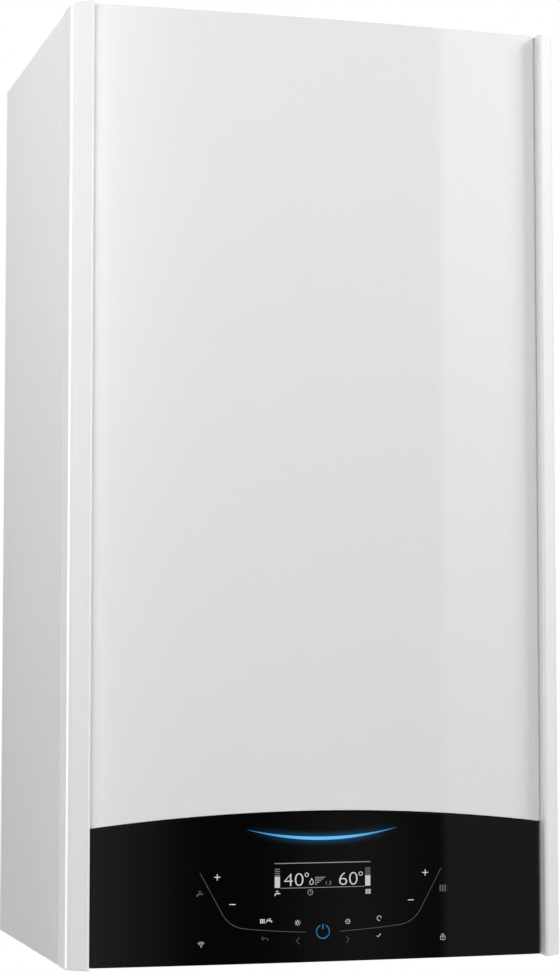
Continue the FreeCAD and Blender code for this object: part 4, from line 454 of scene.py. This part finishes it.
class BOILER_OT_finishes(bpy.types.Operator):
    """Gives every carried-over CAD node the finish of its material slot"""
    bl_idname = "boiler.finishes"
    bl_label = "Finishes"

    def execute(self, context):
        make_finishes(context.scene.boiler_casing, context.scene.boiler_display)
        for part in frame["record"]["subparts"]:
            shown = frame["nodes"][part["node"]]
            shown.data.materials.clear()
            shown.data.materials.append(FINISHES[OWN_FINISH.get(part["node"], part["material_slot"])])
        return {"FINISHED"}


# ---- modelling

# Vertices closer than this, in millimetres, are welded.
WELD = 0.002
# Edges that turn by more than this are rounded, and faces that meet at less than this are shaded as one.
SHARP = math.radians(50)
SMOOTH = math.radians(35)


def clear_selection():
    """Leaves edit mode with nothing selected, because an operator acts on all that is selected."""
    if bpy.context.object and bpy.context.object.mode != "OBJECT":
        bpy.ops.object.mode_set(mode="OBJECT")
    bpy.ops.object.select_all(action="DESELECT")


def activate(piece):
    """Leaves edit mode with one piece selected and active."""
    clear_selection()
    piece.select_set(True)
    bpy.context.view_layer.objects.active = piece


def new_piece(name):
    """A new empty mesh in edit mode, ready to be drawn in."""
    clear_selection()
    bpy.ops.mesh.primitive_plane_add(size=MM)
    piece = bpy.context.object
    piece.name = name
    piece.data.name = name
    bpy.ops.object.mode_set(mode="EDIT")
    bpy.ops.mesh.select_mode(type="VERT")
    bpy.ops.mesh.delete(type="VERT")
    return piece


def point(place):
    """Sets down one selected vertex in the piece being drawn."""
    bpy.ops.mesh.primitive_plane_add(size=MM, location=(0, 0, 0))
    bpy.ops.mesh.merge(type="CENTER")
    bpy.ops.transform.translate(value=place)


def draw(step):
    """Extrudes the selected vertices, edges or faces along a step."""
    bpy.ops.mesh.extrude_region_move(TRANSFORM_OT_translate={"value": step})


def sweep(centre, degrees, steps, axis):
    """Spins the selection right-handed about an axis; the operator itself turns the other way."""
    bpy.ops.mesh.spin(steps=steps, angle=math.radians(degrees), center=centre, axis=[-c for c in axis])


def pick(piece, test, kind="verts"):
    """Selects, in edit mode, the vertices, edges or faces that pass a test, and nothing else."""
    bpy.ops.mesh.select_mode(type={"verts": "VERT", "edges": "EDGE", "faces": "FACE"}[kind])
    bpy.ops.mesh.select_all(action="DESELECT")
    mesh = bmesh.from_edit_mesh(piece.data)
    for element in getattr(mesh, kind):
        if test(element):
            element.select_set(True)
    mesh.select_flush_mode()
    bmesh.update_edit_mesh(piece.data)


def pick_linked(piece, place):
    """Selects, in edit mode, all that hangs together with the vertex at a place."""
    pick(piece, lambda v: (v.co - place).length < 0.01 * MM)
    bpy.ops.mesh.select_linked()


def turn_outwards():
    """Turns every face of the piece being drawn outwards, and leaves edit mode."""
    bpy.ops.mesh.select_all(action="SELECT")
    bpy.ops.mesh.normals_make_consistent(inside=False)
    bpy.ops.object.mode_set(mode="OBJECT")


def modify(piece, kind, **settings):
    """Adds a modifier with its settings and applies it."""
    activate(piece)
    modifier = piece.modifiers.new(kind.lower(), kind)
    for key, value in settings.items():
        setattr(modifier, key, value)
    bpy.ops.object.modifier_apply(modifier=modifier.name)


def combine(piece, operation, helper):
    """Joins a helper to a piece or cuts it away, and removes the helper."""
    modify(piece, "BOOLEAN", operation=operation, object=helper, solver="EXACT")
    mesh = helper.data
    bpy.data.objects.remove(helper)
    bpy.data.meshes.remove(mesh)


def cutter(centre, radius, depth, facets):
    """A round bar that lies along the depth of the casing, to cut with."""
    clear_selection()
    bpy.ops.mesh.primitive_cylinder_add(vertices=facets, radius=radius * MM, depth=depth * MM, location=centre,
                                        rotation=(math.radians(90), 0, 0))
    bpy.ops.object.transform_apply()
    return bpy.context.object


def round_edges(piece, width, segments):
    """Bevels every sharp edge of a piece."""
    modify(piece, "BEVEL", width=width * MM, segments=segments, limit_method="ANGLE", angle_limit=SHARP)


def finish(piece, body, slot, replaced=None, finish_name=None, broad=False):
    """Shades a piece, gives it its finish and sets it riding on a body of the frame.

    A piece with broad faces has its narrow bevels kept from tilting their shading."""
    activate(piece)
    bpy.ops.object.transform_apply()
    bpy.ops.object.shade_smooth_by_angle(angle=SMOOTH)
    if broad:
        modify(piece, "WEIGHTED_NORMAL", keep_sharp=True)
    piece.data.materials.clear()
    piece.data.materials.append(FINISHES[finish_name or slot])
    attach(piece, body)
    if replaced:
        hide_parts(replaced)
    if not piece.data.polygons:
        raise RuntimeError(f"{piece.name} has no faces")


# ---- bowed front

# The bowed panel and fascia, in millimetres: half width, back edge, crest, bow rise and edge radius in plan, then the
# lower and upper ends, the thickness and the rounding of the edges.
PANEL = {"half": 184.45, "back": 296.0, "crest": 316.5, "rise": 5.5, "edge": 4.0,
         "low": 90.0, "top": 745.0, "thick": 1.0, "rounding": 0.4}
FASCIA = {"half": 183.5, "back": 300.0, "crest": 316.5, "rise": 5.5, "edge": 4.0,
          "low": 1.0, "top": 131.5, "thick": 3.0, "rounding": 0.5}
# The flap at the panel's top: how far back it runs, and half its width there.
FLAP = {"back": 279.0, "half": 179.7}
# The arch between panel and fascia: its height over the casing's underside at the middle, and its radius.
ARCH_TOP = 116.5
ARCH_RADIUS = 1469.8
SEAM = 1.0
# The drum that cuts the arch: the middle of its thickness out from the wall, its thickness and its facets.
DRUM = {"out": 305.0, "thick": 60.0, "facets": 1440}


def bowed_skin(name, shape):
    """A new piece with a bowed plan outline raised from its lower to its upper end, open at the back."""
    piece = new_piece(name)
    half, rise, edge, up = shape["half"], shape["rise"], shape["edge"], shape["low"]
    radius = (half * half + rise * rise) / (2 * rise)
    bow_centre = at(0, shape["crest"] - radius, up)
    tip = math.asin((half - edge) / (radius - edge))
    out = shape["crest"] - radius + (radius - edge) * math.cos(tip)
    side = 90 - math.degrees(tip)
    point(at(-half, shape["back"], up))
    draw(at(0, out, 0) - at(0, shape["back"], 0))
    sweep(at(edge - half, out, up), side, 12, (0, 0, 1))
    sweep(bow_centre, 2 * math.degrees(tip), 96, (0, 0, 1))
    sweep(at(half - edge, out, up), side, 12, (0, 0, 1))
    draw(at(0, shape["back"], 0) - at(0, out, 0))
    bpy.ops.mesh.select_all(action="SELECT")
    draw((0, 0, (shape["top"] - shape["low"]) * MM))
    return piece


def arch_skin(piece, shape, operation, radius):
    """Thickens a bowed skin, cuts it along the arch with a wide flat drum, and rounds its edges."""
    turn_outwards()
    modify(piece, "SOLIDIFY", thickness=shape["thick"] * MM, offset=-1.0, use_even_offset=True)
    centre = at(0, DRUM["out"], ARCH_TOP - ARCH_RADIUS)
    combine(piece, operation, cutter(centre, radius, DRUM["thick"], DRUM["facets"]))
    round_edges(piece, shape["rounding"], 2)


class BOILER_OT_front_panel(bpy.types.Operator):
    """Models the bowed sheet-steel front panel with its returned edges and arched foot"""
    bl_idname = "boiler.front_panel"
    bl_label = "Front panel"

    def execute(self, context):
        panel = bowed_skin("front_panel_sheet", PANEL)
        # The top is closed by a flat sheet that runs back over the casing as a flap.
        rim, heel = at(0, 0, PANEL["top"] - 1).z, at(0, PANEL["back"] + 1, 0).y
        pick(panel, lambda v: v.co.z > rim)
        bpy.ops.mesh.edge_face_add()
        pick(panel, lambda e: all(v.co.z > rim and v.co.y > heel for v in e.verts), "edges")
        draw(at(0, FLAP["back"], 0) - at(0, PANEL["back"], 0))
        bpy.ops.transform.resize(value=(FLAP["half"] / PANEL["half"], 1, 1),
                                 center_override=at(0, FLAP["back"], PANEL["top"]))
        arch_skin(panel, PANEL, "DIFFERENCE", ARCH_RADIUS + SEAM)
        finish(panel, "casing", "white_enamel", "front_panel", broad=True)
        return {"FINISHED"}


class BOILER_OT_fascia(bpy.types.Operator):
    """Models the arched acrylic touch fascia as a thick bowed shell"""
    bl_idname = "boiler.fascia"
    bl_label = "Fascia"

    def execute(self, context):
        fascia = bowed_skin("fascia_sheet", FASCIA)
        sill = at(0, 0, FASCIA["low"] + 1).z
        pick(fascia, lambda v: v.co.z < sill)
        bpy.ops.mesh.edge_face_add()
        arch_skin(fascia, FASCIA, "INTERSECT", ARCH_RADIUS)
        finish(fascia, "control_panel", "black_acrylic", "fascia", broad=True)
        return {"FINISHED"}


# ---- trim rails

# A rail in plan, across from the middle and out from the wall, in millimetres; corner and tip are given sharp.
RAIL = {"half": 201.0, "inner": 184.5, "lip": 180.0, "back": 278.5, "seat": 296.0, "corner": 308.1, "tip": 321.1,
        "wall": 2.0, "corner_radius": 12.0, "crest_radius": 2.0}
# Its ends: the top, the thickness of its caps, the level of the lower cap and of the lip's lower end.
RAIL_TOP = 745.0
RAIL_CAP = 2.0
FOOT_LEVEL = 3.0
LIP_LOW = 131.5
# The hole for the peg that carries it, the web around the hole, and the rounding of the edges.
PEG = {"across": 193.0, "up": 720.0, "radius": 2.55}
WEB = {"setback": 5.0, "thick": 3.0, "height": 12.0}
RAIL_ROUNDING = 0.7


def plan_outline(corners, up):
    """Draws and fills a plan outline through corners given across, out and with a radius."""
    places = [at(across, out, up) for across, out, _ in corners]
    for index, (_, _, radius) in enumerate(corners):
        here = places[index]
        before = (places[index - 1] - here).normalized()
        after = (places[(index + 1) % len(places)] - here).normalized()
        half = before.angle(after) / 2
        start = here + before * radius * MM / math.tan(half)
        if index:
            draw(start - last)
        else:
            point(start)
        last = start
        if radius:
            way = 1 if before.cross(after).z < 0 else -1
            centre = here + (before + after).normalized() * radius * MM / math.sin(half)
            sweep(centre, 180 - 2 * math.degrees(half), 12, (0, 0, way))
            last = here + after * radius * MM / math.tan(half)
    bpy.ops.mesh.select_linked()
    bpy.ops.mesh.edge_face_add()


def prism(name, corners, low, high, flip):
    """A closed upright prism over a plan outline, mirrored for the left side."""
    piece = new_piece(name)
    plan_outline([(across * flip, out, radius) for across, out, radius in corners], low)
    draw((0, 0, (high - low) * MM))
    turn_outwards()
    return piece


def block(across, out, up):
    """A plain box to cut or join with, given by its ends across, out and up."""
    clear_selection()
    first, second = [at(*ends) for ends in zip(across, out, up)]
    bpy.ops.mesh.primitive_cube_add(size=1, location=(first + second) / 2)
    bpy.context.object.scale = [abs(a - b) for a, b in zip(first, second)]
    bpy.ops.object.transform_apply()
    return bpy.context.object


class BOILER_OT_rails(bpy.types.Operator):
    """Models the two trim rails as moulded channels with closed ends, a lip behind the panel and a web at the peg"""
    bl_idname = "boiler.rails"
    bl_label = "Trim rails"

    def execute(self, context):
        half, inner, lip, back, seat, corner, tip, wall, corner_radius, crest_radius = RAIL.values()
        slope = (tip - corner) / (half - inner)
        skin = wall * math.hypot(1, slope)
        behind = back - wall
        shell = [(half, back, 0), (half, corner, corner_radius), (inner, tip, crest_radius), (inner, seat, 0),
                 (lip, seat, 0), (lip, back, 0)]
        hollow = [(half - wall, behind, 0), (half - wall, corner + wall * slope - skin, corner_radius - wall),
                  (inner + wall, tip - wall * slope - skin, 0), (inner + wall, seat - wall, 0),
                  (lip - wall, seat - wall, 0), (lip - wall, behind, 0)]
        web_out = (back + WEB["setback"], back + WEB["setback"] + WEB["thick"])
        web_up = (PEG["up"] - WEB["height"] / 2, PEG["up"] + WEB["height"] / 2)
        for side, flip in (("left", -1), ("right", 1)):
            rail = prism(f"rail_moulding_{side}", shell, 0, RAIL_TOP, flip)
            combine(rail, "DIFFERENCE", prism("hollow", hollow, FOOT_LEVEL + RAIL_CAP, RAIL_TOP - RAIL_CAP, flip))
            combine(rail, "DIFFERENCE", prism("recess", hollow, -RAIL_CAP, FOOT_LEVEL, flip))
            lip_ends = (flip * (lip - wall), flip * inner)
            combine(rail, "DIFFERENCE", block(lip_ends, (behind, seat + wall), (-RAIL_CAP, LIP_LOW)))
            web_ends = (flip * (inner + wall / 2), flip * (half - wall / 2))
            combine(rail, "UNION", block(web_ends, web_out, web_up))
            hole = at(flip * PEG["across"], sum(web_out) / 2, PEG["up"])
            combine(rail, "DIFFERENCE", cutter(hole, PEG["radius"], 4 * WEB["thick"], 32))
            round_edges(rail, RAIL_ROUNDING, 3)
            finish(rail, "casing", "white_plastic", f"trim_rail_{side}", broad=True)
        return {"FINISHED"}


# ---- marks on the fascia

# Marks are drawn upright this far out from the wall, then laid on the fascia with a lift and a thickness.
EASEL = 330.0
MARK_LIFT = 0.02
MARK_THICK = 0.12
# Longest steps along a straight run and an arc, in millimetres, and the widest turn of a step, in degrees.
RUN_STEP = 5.0
ARC_STEP = 4.0
ARC_TURN = 10.0
# How the numbers' type is widened, and how much its strokes are thinned.
TYPE_WIDTH = 1.16
TYPE_OFFSET = -0.017


def bearing(degrees):
    """One millimetre along a heading on the easel, given anticlockwise from the right."""
    turn = math.radians(degrees)
    return Vector((math.cos(turn), 0, math.sin(turn))) * MM


def stroke(start, heading, width, moves, flip=1):
    """A flat ribbon drawn by sweeping a short edge along straight runs and arcs.

    A move is one length to go straight, or a radius and an angle to turn, left when the angle is positive."""
    place = at(start[0] * flip, EASEL, start[1])
    heading = heading if flip > 0 else 180 - heading
    edge = bearing(heading + 90) * width
    point(place - edge / 2)
    draw(edge)
    bpy.ops.mesh.select_linked()
    for move in moves:
        if isinstance(move, (int, float)):
            pieces = max(1, round(move / RUN_STEP))
            step = bearing(heading) * (move / pieces)
            for _ in range(pieces):
                draw(step)
            place += step * pieces
            continue
        radius, angle = move[0], move[1] * flip
        way = 1 if angle > 0 else -1
        centre = place + bearing(heading + 90) * radius * way
        steps = max(4, round(abs(angle) / ARC_TURN), round(math.radians(abs(angle)) * radius / ARC_STEP))
        sweep(centre, abs(angle), steps, (0, -way, 0))
        heading += angle
        place = centre - bearing(heading + 90) * radius * way


def ring(centre, radius, width):
    """A flat ring on the easel."""
    stroke((centre[0] + radius, centre[1]), 90, width, [(radius, 360)])


def clock(centre, radius, hands):
    """A clock symbol: a ring with an upright and a level hand."""
    ring(centre, radius, 0.4)
    for heading, hand in zip((90, 0), hands):
        stroke(centre, heading, 0.35, [hand])


def disc(centre, radius):
    """A flat filled disc on the easel."""
    bpy.ops.mesh.primitive_circle_add(vertices=20, radius=radius * MM, fill_type="NGON",
                                      location=at(centre[0], EASEL, centre[1]), rotation=(math.radians(90), 0, 0))


def number(text, place, height):
    """A plain number as a flat mesh whose lower left corner is at a place on the easel."""
    clear_selection()
    bpy.ops.object.text_add(rotation=(math.radians(90), 0, 0))
    words = bpy.context.object
    words.data.body = text
    words.data.offset = TYPE_OFFSET
    words.data.resolution_u = 6
    bpy.ops.object.convert(target="MESH")
    words = bpy.context.object
    tall = height * MM / words.dimensions.y
    words.scale = (TYPE_WIDTH * tall, tall, tall)
    bpy.ops.object.transform_apply()
    low = [min(v.co[i] for v in words.data.vertices) for i in range(3)]
    words.location = at(place[0], EASEL, place[1]) - Vector(low)
    bpy.ops.object.transform_apply()
    return words


def lay_on_fascia(piece, finish_name, numbers=(), slot="display_glass"):
    """Joins numbers to a drawing, lays it on the bowed fascia, thickens it and finishes it."""
    activate(piece)
    for words in numbers:
        words.select_set(True)
    if numbers:
        bpy.ops.object.join()
    bpy.ops.object.mode_set(mode="EDIT")
    bpy.ops.mesh.select_all(action="SELECT")
    bpy.ops.mesh.remove_doubles(threshold=WELD * MM)
    pick(piece, lambda f: f.normal.y > 0, "faces")
    bpy.ops.mesh.flip_normals()
    bpy.ops.object.mode_set(mode="OBJECT")
    modify(piece, "SHRINKWRAP", target=bpy.data.objects["fascia_sheet"], wrap_method="PROJECT", use_project_y=True,
           use_positive_direction=True, use_negative_direction=False, offset=MARK_LIFT * MM)
    modify(piece, "SOLIDIFY", thickness=MARK_THICK * MM, offset=1.0)
    finish(piece, "control_panel", slot, None, finish_name)


def radiator(centre, size):
    """A radiator symbol: three upright bars between two rails."""
    x, z = centre
    for index in range(3):
        stroke((x + (index - 1) * size * 0.36, z - size * 0.42), 90, size * 0.2, [size * 0.84])
    for level in (-0.3, 0.3):
        stroke((x - size * 0.46, z + level * size), 0, size * 0.07, [size * 0.92])


def tap(centre, size, flip=1):
    """A tap symbol: a handle on a stem, a body and a spout turned down."""
    x, z = centre
    stroke((x - size * 0.2, z + size * 0.42), 0, size * 0.1, [size * 0.45], flip)
    stroke((x, z + size * 0.4), -90, size * 0.1, [size * 0.3], flip)
    stroke((x - size * 0.45, z + size * 0.05), 0, size * 0.18, [size * 0.6, (size * 0.22, -90), size * 0.12], flip)


class BOILER_OT_display(bpy.types.Operator):
    """Draws the lit display: two plain numbers, two bar gauges, a flame and small symbols between two lines"""
    bl_idname = "boiler.display"
    bl_label = "Display"

    def execute(self, context):
        values = context.scene.boiler_display
        lit = new_piece("display_marks")
        gauges = ((-1, 8.6), (1, 8.1))
        for side, full in gauges:
            stroke((34.6, 58.6 + full / 2), 0, full, [4.2], side)
        for across in (-13.0, 30.9):
            ring((across, 68.1), 1.4, 0.55)
        # A flame.
        stroke((-9.3, 60.6), 0, 0.5, [(1.6, 115), 1.5, (2.2, 40)])
        stroke((-9.3, 60.6), 180, 0.5, [(1.4, -120), 1.3, (2.0, -55)])
        tap((36.7, 53.9), 5.0, -1)
        radiator((36.9, 54.2), 4.3)
        numbers = [
            number(values.left_number, (-31.4, 59.7), 9.7),
            number(values.right_number, (13.2, 59.7), 9.7),
        ]
        lay_on_fascia(lit, "lit_display", numbers)

        dim = new_piece("display_marks_dim")
        for side, full in gauges:
            for index in range(4):
                stroke((34.6, 58.6 + full + 0.95 + index * 1.56), 0, 0.45, [4.2], side)
        stroke((-39, 77.2), 0, 0.6, [78])
        stroke((-34.2, 58.2), 0, 0.4, [68.4])
        # The stepped lines of the flame's level, and a clock.
        for index in range(5):
            stroke((-6.4, 60.6 + index * 1.35), 0, 0.5, [1.6 + index * 1.7])
        clock((-10.2, 54.6), 2.0, (1.4, 1.0))
        lay_on_fascia(dim, "lit_dim", [number(values.middle_number, (2.6, 60.3), 2.6)])
        return {"FINISHED"}


class BOILER_OT_touch_keys(bpy.types.Operator):
    """Draws the symbols of the touch keys, bright, soft and faint, and the blue standby ring"""
    bl_idname = "boiler.touch_keys"
    bl_label = "Touch keys"

    def execute(self, context):
        bright = new_piece("key_marks_bright")
        for side in (-1, 1):
            stroke((84.4 - 2.4, 67.7), 0, 0.68, [4.8], side)
            stroke((84.4, 67.7 - 2.4), 90, 0.68, [4.8], side)
            stroke((72.4 - 2.4, 46.7), 0, 0.68, [4.8], side)
        # A radiator and a tap apart, a turning arrow, a tick, a clock and a sun.
        radiator((-48.6, 33.4), 3.8)
        stroke((-46.2, 31.7), 60, 0.4, [3.8])
        tap((-42.8, 33.4), 4.0)
        stroke((46 + 1.7, 33.2), 90, 0.4, [(1.7, 290)])
        stroke((46.4, 31.2), 150, 0.4, [1.4])
        stroke((44.2, 19.8), -45, 0.45, [1.5])
        stroke((45.2, 18.9), 50, 0.45, [3.2])
        clock((20.2, 31.4), 1.7, (1.2, 0.9))
        ring((-20.4, 31.4), 1.1, 0.4)
        for index in range(8):
            turn = math.radians(45 * index)
            stroke((-20.4 + 1.6 * math.cos(turn), 31.4 + 1.6 * math.sin(turn)), 45 * index, 0.35, [0.8])
        lay_on_fascia(bright, "printed_white")

        soft = new_piece("key_marks_soft")
        # Waves of a radio link at the left, and a padlock at the right.
        disc((-97.0, 15.1), 0.55)
        for radius in (1.3, 2.45, 3.6):
            stroke((-97.0 + radius * 0.707, 15.1 + radius * 0.707), 135, 0.55, [(radius, 90)])
        stroke((97.4, 15.0), 0, 0.5, [3.2, (0.3, 90), 2.1, (0.3, 90), 3.2, (0.3, 90), 2.1, (0.3, 90)])
        stroke((97.9, 17.7), 90, 0.5, [0.7, (1.1, -180), 0.7])
        disc((99.0, 16.3), 0.4)
        lay_on_fascia(soft, "printed_soft")

        faint = new_piece("key_marks_faint")
        tap((98, 54.8), 5.6, -1)
        radiator((99.2, 55.2), 6.0)
        for side in (-1, 1):
            # A thin line runs from the outer keys round to the standby ring.
            stroke((98, 71.3), -119, 0.42, [36.6, (22.4, -54.5), (630, -4.5)], side)
            stroke((20.2 - 1.4, 17.6 + 2.6), -45, 0.45, [3.7], side)
            stroke((20.2 - 1.4, 17.6 - 2.6), 45, 0.45, [3.7], side)
        stroke((-44.0, 18.4), 90, 0.45, [0.4, (1.4, 90), 4.0])
        stroke((-49.4, 20.2), 45, 0.45, [2.0])
        stroke((-49.4, 20.2), -45, 0.45, [2.0])
        lay_on_fascia(faint, "printed_grey")

        standby = new_piece("standby_ring")
        stroke((2.2, 24.2 + 4.71), -25.1, 0.85, [(5.2, -309.8)])
        stroke((0, 24.2 + 1.9), 90, 0.85, [4.0])
        lay_on_fascia(standby, "lit_blue", slot="light_guide")
        return {"FINISHED"}


class BOILER_OT_crescent(bpy.types.Operator):
    """Models the lit blue crescent over the display as a thin lens between two arcs"""
    bl_idname = "boiler.crescent"
    bl_label = "Light crescent"

    def execute(self, context):
        crescent = new_piece("light_crescent_lens")
        half, tip_up = CRESCENT["half"], CRESCENT["tip_up"]
        for sag in CRESCENT["sags"]:
            radius = (half * half + sag * sag) / (2 * sag)
            angle = math.degrees(2 * math.asin(half / radius))
            point(at(-half, EASEL, tip_up))
            sweep(at(0, EASEL, tip_up - sag + radius), angle, 48, (0, -1, 0))
        bpy.ops.mesh.select_all(action="SELECT")
        bpy.ops.mesh.bridge_edge_loops()
        lay_on_fascia(crescent, "lit_crescent", slot="light_guide")
        return {"FINISHED"}


# ---- fittings under the casing

# The connections: places across and radii, distance out from the wall and drop below the casing, in millimetres.
TAILS = ((-130, 13.22), (-65, 10.48), (0, 13.22), (65, 10.48), (130, 13.22))
TAIL_OUT = 130.0
TAIL_DROP = 18.0
# Their threads, in millimetres: the pitch, the rise over the root, how far the root stands off the pipe and how far
# the rings reach into it, the distance from the pipe's end, and the number of turns.
THREAD = {"pitch": 1.814, "rise": 0.55, "root": 0.05, "depth": 0.5, "start": 0.4, "turns": 7}


class BOILER_OT_threads(bpy.types.Operator):
    """Turns the rings of a pipe thread on every connection under the casing"""
    bl_idname = "boiler.threads"
    bl_label = "Threads"

    def execute(self, context):
        threads = new_piece("tail_threads")
        rise, step, depth = THREAD["rise"] * MM, THREAD["pitch"] / 2 * MM, THREAD["depth"] * MM
        start = THREAD["start"] - TAIL_DROP
        for across, radius in TAILS:
            root = radius + THREAD["root"]
            point(at(across + root - THREAD["depth"], TAIL_OUT, start))
            draw((depth, 0, 0))
            for _ in range(THREAD["turns"]):
                draw((rise, 0, step))
                draw((-rise, 0, step))
            draw((-depth, 0, 0))
            bpy.ops.mesh.select_linked()
            bpy.ops.mesh.edge_face_add()
            bpy.ops.mesh.delete(type="ONLY_FACE")
            pick_linked(threads, at(across + root, TAIL_OUT, start))
            sweep(at(across, TAIL_OUT, 0), 360, 48, (0, 0, 1))
        bpy.ops.mesh.select_all(action="SELECT")
        bpy.ops.mesh.remove_doubles(threshold=WELD * MM)
        turn_outwards()
        finish(threads, "chassis", "brass")
        return {"FINISHED"}


# ---- stage

# Lamps: name, place and size in metres; all of them aim at one place on the casing.
LAMPS = (
    ("key", (-0.7, -1.6, 0.2), 1.0),
    ("left", (-1.0, -0.2, 0.3), 0.6),
    ("right", (1.6, -0.9, 0.9), 0.6),
)
LAMP_AIM = Vector((-0.05, -0.2, -0.3))
# The floor: its size and middle in metres, and the light that the camera sees it give off by itself.
FLOOR = {"size": 4.0, "middle": (0.0, -0.5), "glow": 0.38}
SENSOR = 36.0
# The room as gloss sees it: where a brightness starts and ends to change, and its level before and after. Bearings
# are in radians to the right of straight in front, heights are the upward part of the direction.
ROOM = {
    "left": (0.05, 0.19, 0.65, 0.03),
    "left_by_height": (0.05, 0.25, 1.0, 2.4),
    "card": (0.405, 0.411, 0.0, 1.05),
    "card_by_height": (-0.1, 0.25, 0.35, 1.0),
    "pool": (0.0, 0.1, 0.24, 0.0),
    "pool_by_height": (-0.06, -0.03, 1.0, 0.0),
    "strip": (0.15, 0.35, 5.0, 0.85),
    "flag": (2.3, 2.6, 1.0, 0.03),
    "front_to_back": (0.6, 1.1, 0.0, 1.0),
}
POOL_BEARING = 0.325
STRIP_BEARING = -2.25


def add_floor(drop_height):
    """A pale painted floor below the hung boiler, which keeps the boiler's shadow."""
    bpy.ops.mesh.primitive_grid_add(x_subdivisions=8, y_subdivisions=8, size=FLOOR["size"],
                                    location=(*FLOOR["middle"], CAD_BOX[0][2] - drop_height))
    floor = bpy.context.object
    floor.name = "floor"
    material, shader, coords = surface("painted_floor", IOR=1.45, Emission_Color="#F4F4F2")
    vary(shader, noise(coords, 300, 3.0), "#F1F1EF", "#F6F6F5", 0.8, 0.65)
    seen = node(shader, "LightPath").outputs["Is Camera Ray"]
    feed(shader, "Emission Strength", maths("MULTIPLY", seen, FLOOR["glow"]))
    # From underneath the floor is clear, so that it doesn't hide the underside of the boiler.
    end = material.node_tree.nodes["Material Output"]
    under = node(shader, "NewGeometry").outputs["Backfacing"]
    clear = node(shader, "BsdfTransparent").outputs[0]
    node(shader, "MixShader", {0: under, 1: shader.outputs[0], 2: clear}, (end, "Surface", 0))
    floor.data.materials.append(material)


def add_lamps(stage):
    """Soft area lamps, with the powers that the settings hold, that neither the camera nor gloss sees."""
    for name, place, size in LAMPS:
        bpy.ops.object.light_add(type="AREA", location=place)
        lamp = bpy.context.object
        lamp.name = name
        lamp.rotation_euler = (LAMP_AIM - Vector(place)).to_track_quat("-Z", "Y").to_euler()
        lamp.data.size = size
        lamp.data.energy = getattr(stage, f"{name}_power")
        lamp.visible_camera = False
        lamp.visible_glossy = False


def add_room(scene, ambient):
    """A plain room: white behind the object, dim in front of it, and even light on what is matt."""
    scene.world = bpy.data.worlds.new("studio_room")
    scene.world.use_nodes = True
    tree = scene.world.node_tree
    tree.nodes.clear()
    end = node(tree, "OutputWorld")
    path = node(tree, "LightPath").outputs
    seen = maths("MAXIMUM", path["Is Camera Ray"], path["Is Transmission Ray"])
    direction = node(tree, "TexCoord").outputs["Generated"]
    way = node(tree, "SeparateXYZ", {"Vector": direction}).outputs
    height = way["Z"]
    bearing = maths("ARCTAN2", way["X"], maths("MULTIPLY", way["Y"], -1.0))

    def change(value, key, shape="SMOOTHSTEP"):
        return ramp(value, *ROOM[key], shape)

    def away_from(middle):
        return maths("ABSOLUTE", maths("SUBTRACT", bearing, middle))

    # In front: a soft light at the left, a bright card at the right that fades low down, and a dim pool low between.
    left = maths("MULTIPLY", change(bearing, "left"), change(height, "left_by_height"))
    card = maths("MULTIPLY_ADD", change(bearing, "card", "LINEAR"), change(height, "card_by_height"), left)
    front = maths("MULTIPLY_ADD", change(away_from(POOL_BEARING), "pool"),
                  change(height, "pool_by_height", "LINEAR"), card)
    # Behind: a bright strip that edges the left rail, and a dark flag that draws the outline of the right rail.
    strip = change(away_from(STRIP_BEARING), "strip")
    rear = maths("MULTIPLY", strip, change(bearing, "flag", "LINEAR"))
    around = change(away_from(0.0), "front_to_back")
    mirrored = node(tree, "Mix", {0: around, 2: front, 3: rear}).outputs[0]
    lit = node(tree, "Mix", {0: path["Is Glossy Ray"], 2: ambient, 3: mirrored}).outputs[0]
    level = node(tree, "Mix", {0: seen, 2: lit, 3: 1.0}).outputs[0]
    node(tree, "Background", {"Color": "#FFFFFF", "Strength": level}, (end, "Surface", 0))


class BOILER_OT_stage(bpy.types.Operator):
    """Adds the floor, the lamps, the room's light and the camera"""
    bl_idname = "boiler.stage"
    bl_label = "Stage"

    def execute(self, context):
        scene, stage = context.scene, context.scene.boiler_stage
        scene.view_settings.view_transform = "Standard"
        clear_selection()
        add_floor(stage.floor_drop)
        add_lamps(stage)
        bpy.ops.object.camera_add(location=stage.stand, rotation=stage.turn)
        scene.camera = context.object
        scene.camera.data.lens = stage.lens
        scene.camera.data.sensor_width = SENSOR
        add_room(scene, stage.ambient)
        return {"FINISHED"}


class BOILER_PT_panel(bpy.types.Panel):
    """Lists the boiler's settings and the steps that build it"""
    bl_label = "Boiler"
    bl_idname = "BOILER_PT_panel"
    bl_space_type = "VIEW_3D"
    bl_region_type = "UI"
    bl_category = "Boiler"

    def draw(self, context):
        for group in [getattr(context.scene, key) for key in SETTINGS]:
            box = self.layout.box()
            for key in group.bl_rna.properties.keys():
                if key not in {"rna_type", "name"}:
                    box.prop(group, key)
        for step in STEPS:
            self.layout.operator(step.bl_idname)


SETTINGS = {"boiler_casing": CasingSettings, "boiler_display": DisplaySettings, "boiler_stage": StageSettings}
STEPS = (
    BOILER_OT_finishes, BOILER_OT_front_panel, BOILER_OT_fascia, BOILER_OT_rails, BOILER_OT_display,
    BOILER_OT_touch_keys, BOILER_OT_crescent, BOILER_OT_threads, BOILER_OT_stage,
)
CLASSES = (*SETTINGS.values(), *STEPS, BOILER_PT_panel)


def register():
    for kind in CLASSES:
        bpy.utils.register_class(kind)
    for key, kind in SETTINGS.items():
        setattr(bpy.types.Scene, key, bpy.props.PointerProperty(type=kind))


def unregister():
    for key in SETTINGS:
        delattr(bpy.types.Scene, key)
    for kind in reversed(CLASSES):
        bpy.utils.unregister_class(kind)


def main():
    register()
    for step in STEPS:
        group, name = step.bl_idname.split(".")
        getattr(getattr(bpy.ops, group), name)()


if __name__ == "__main__":
    main()
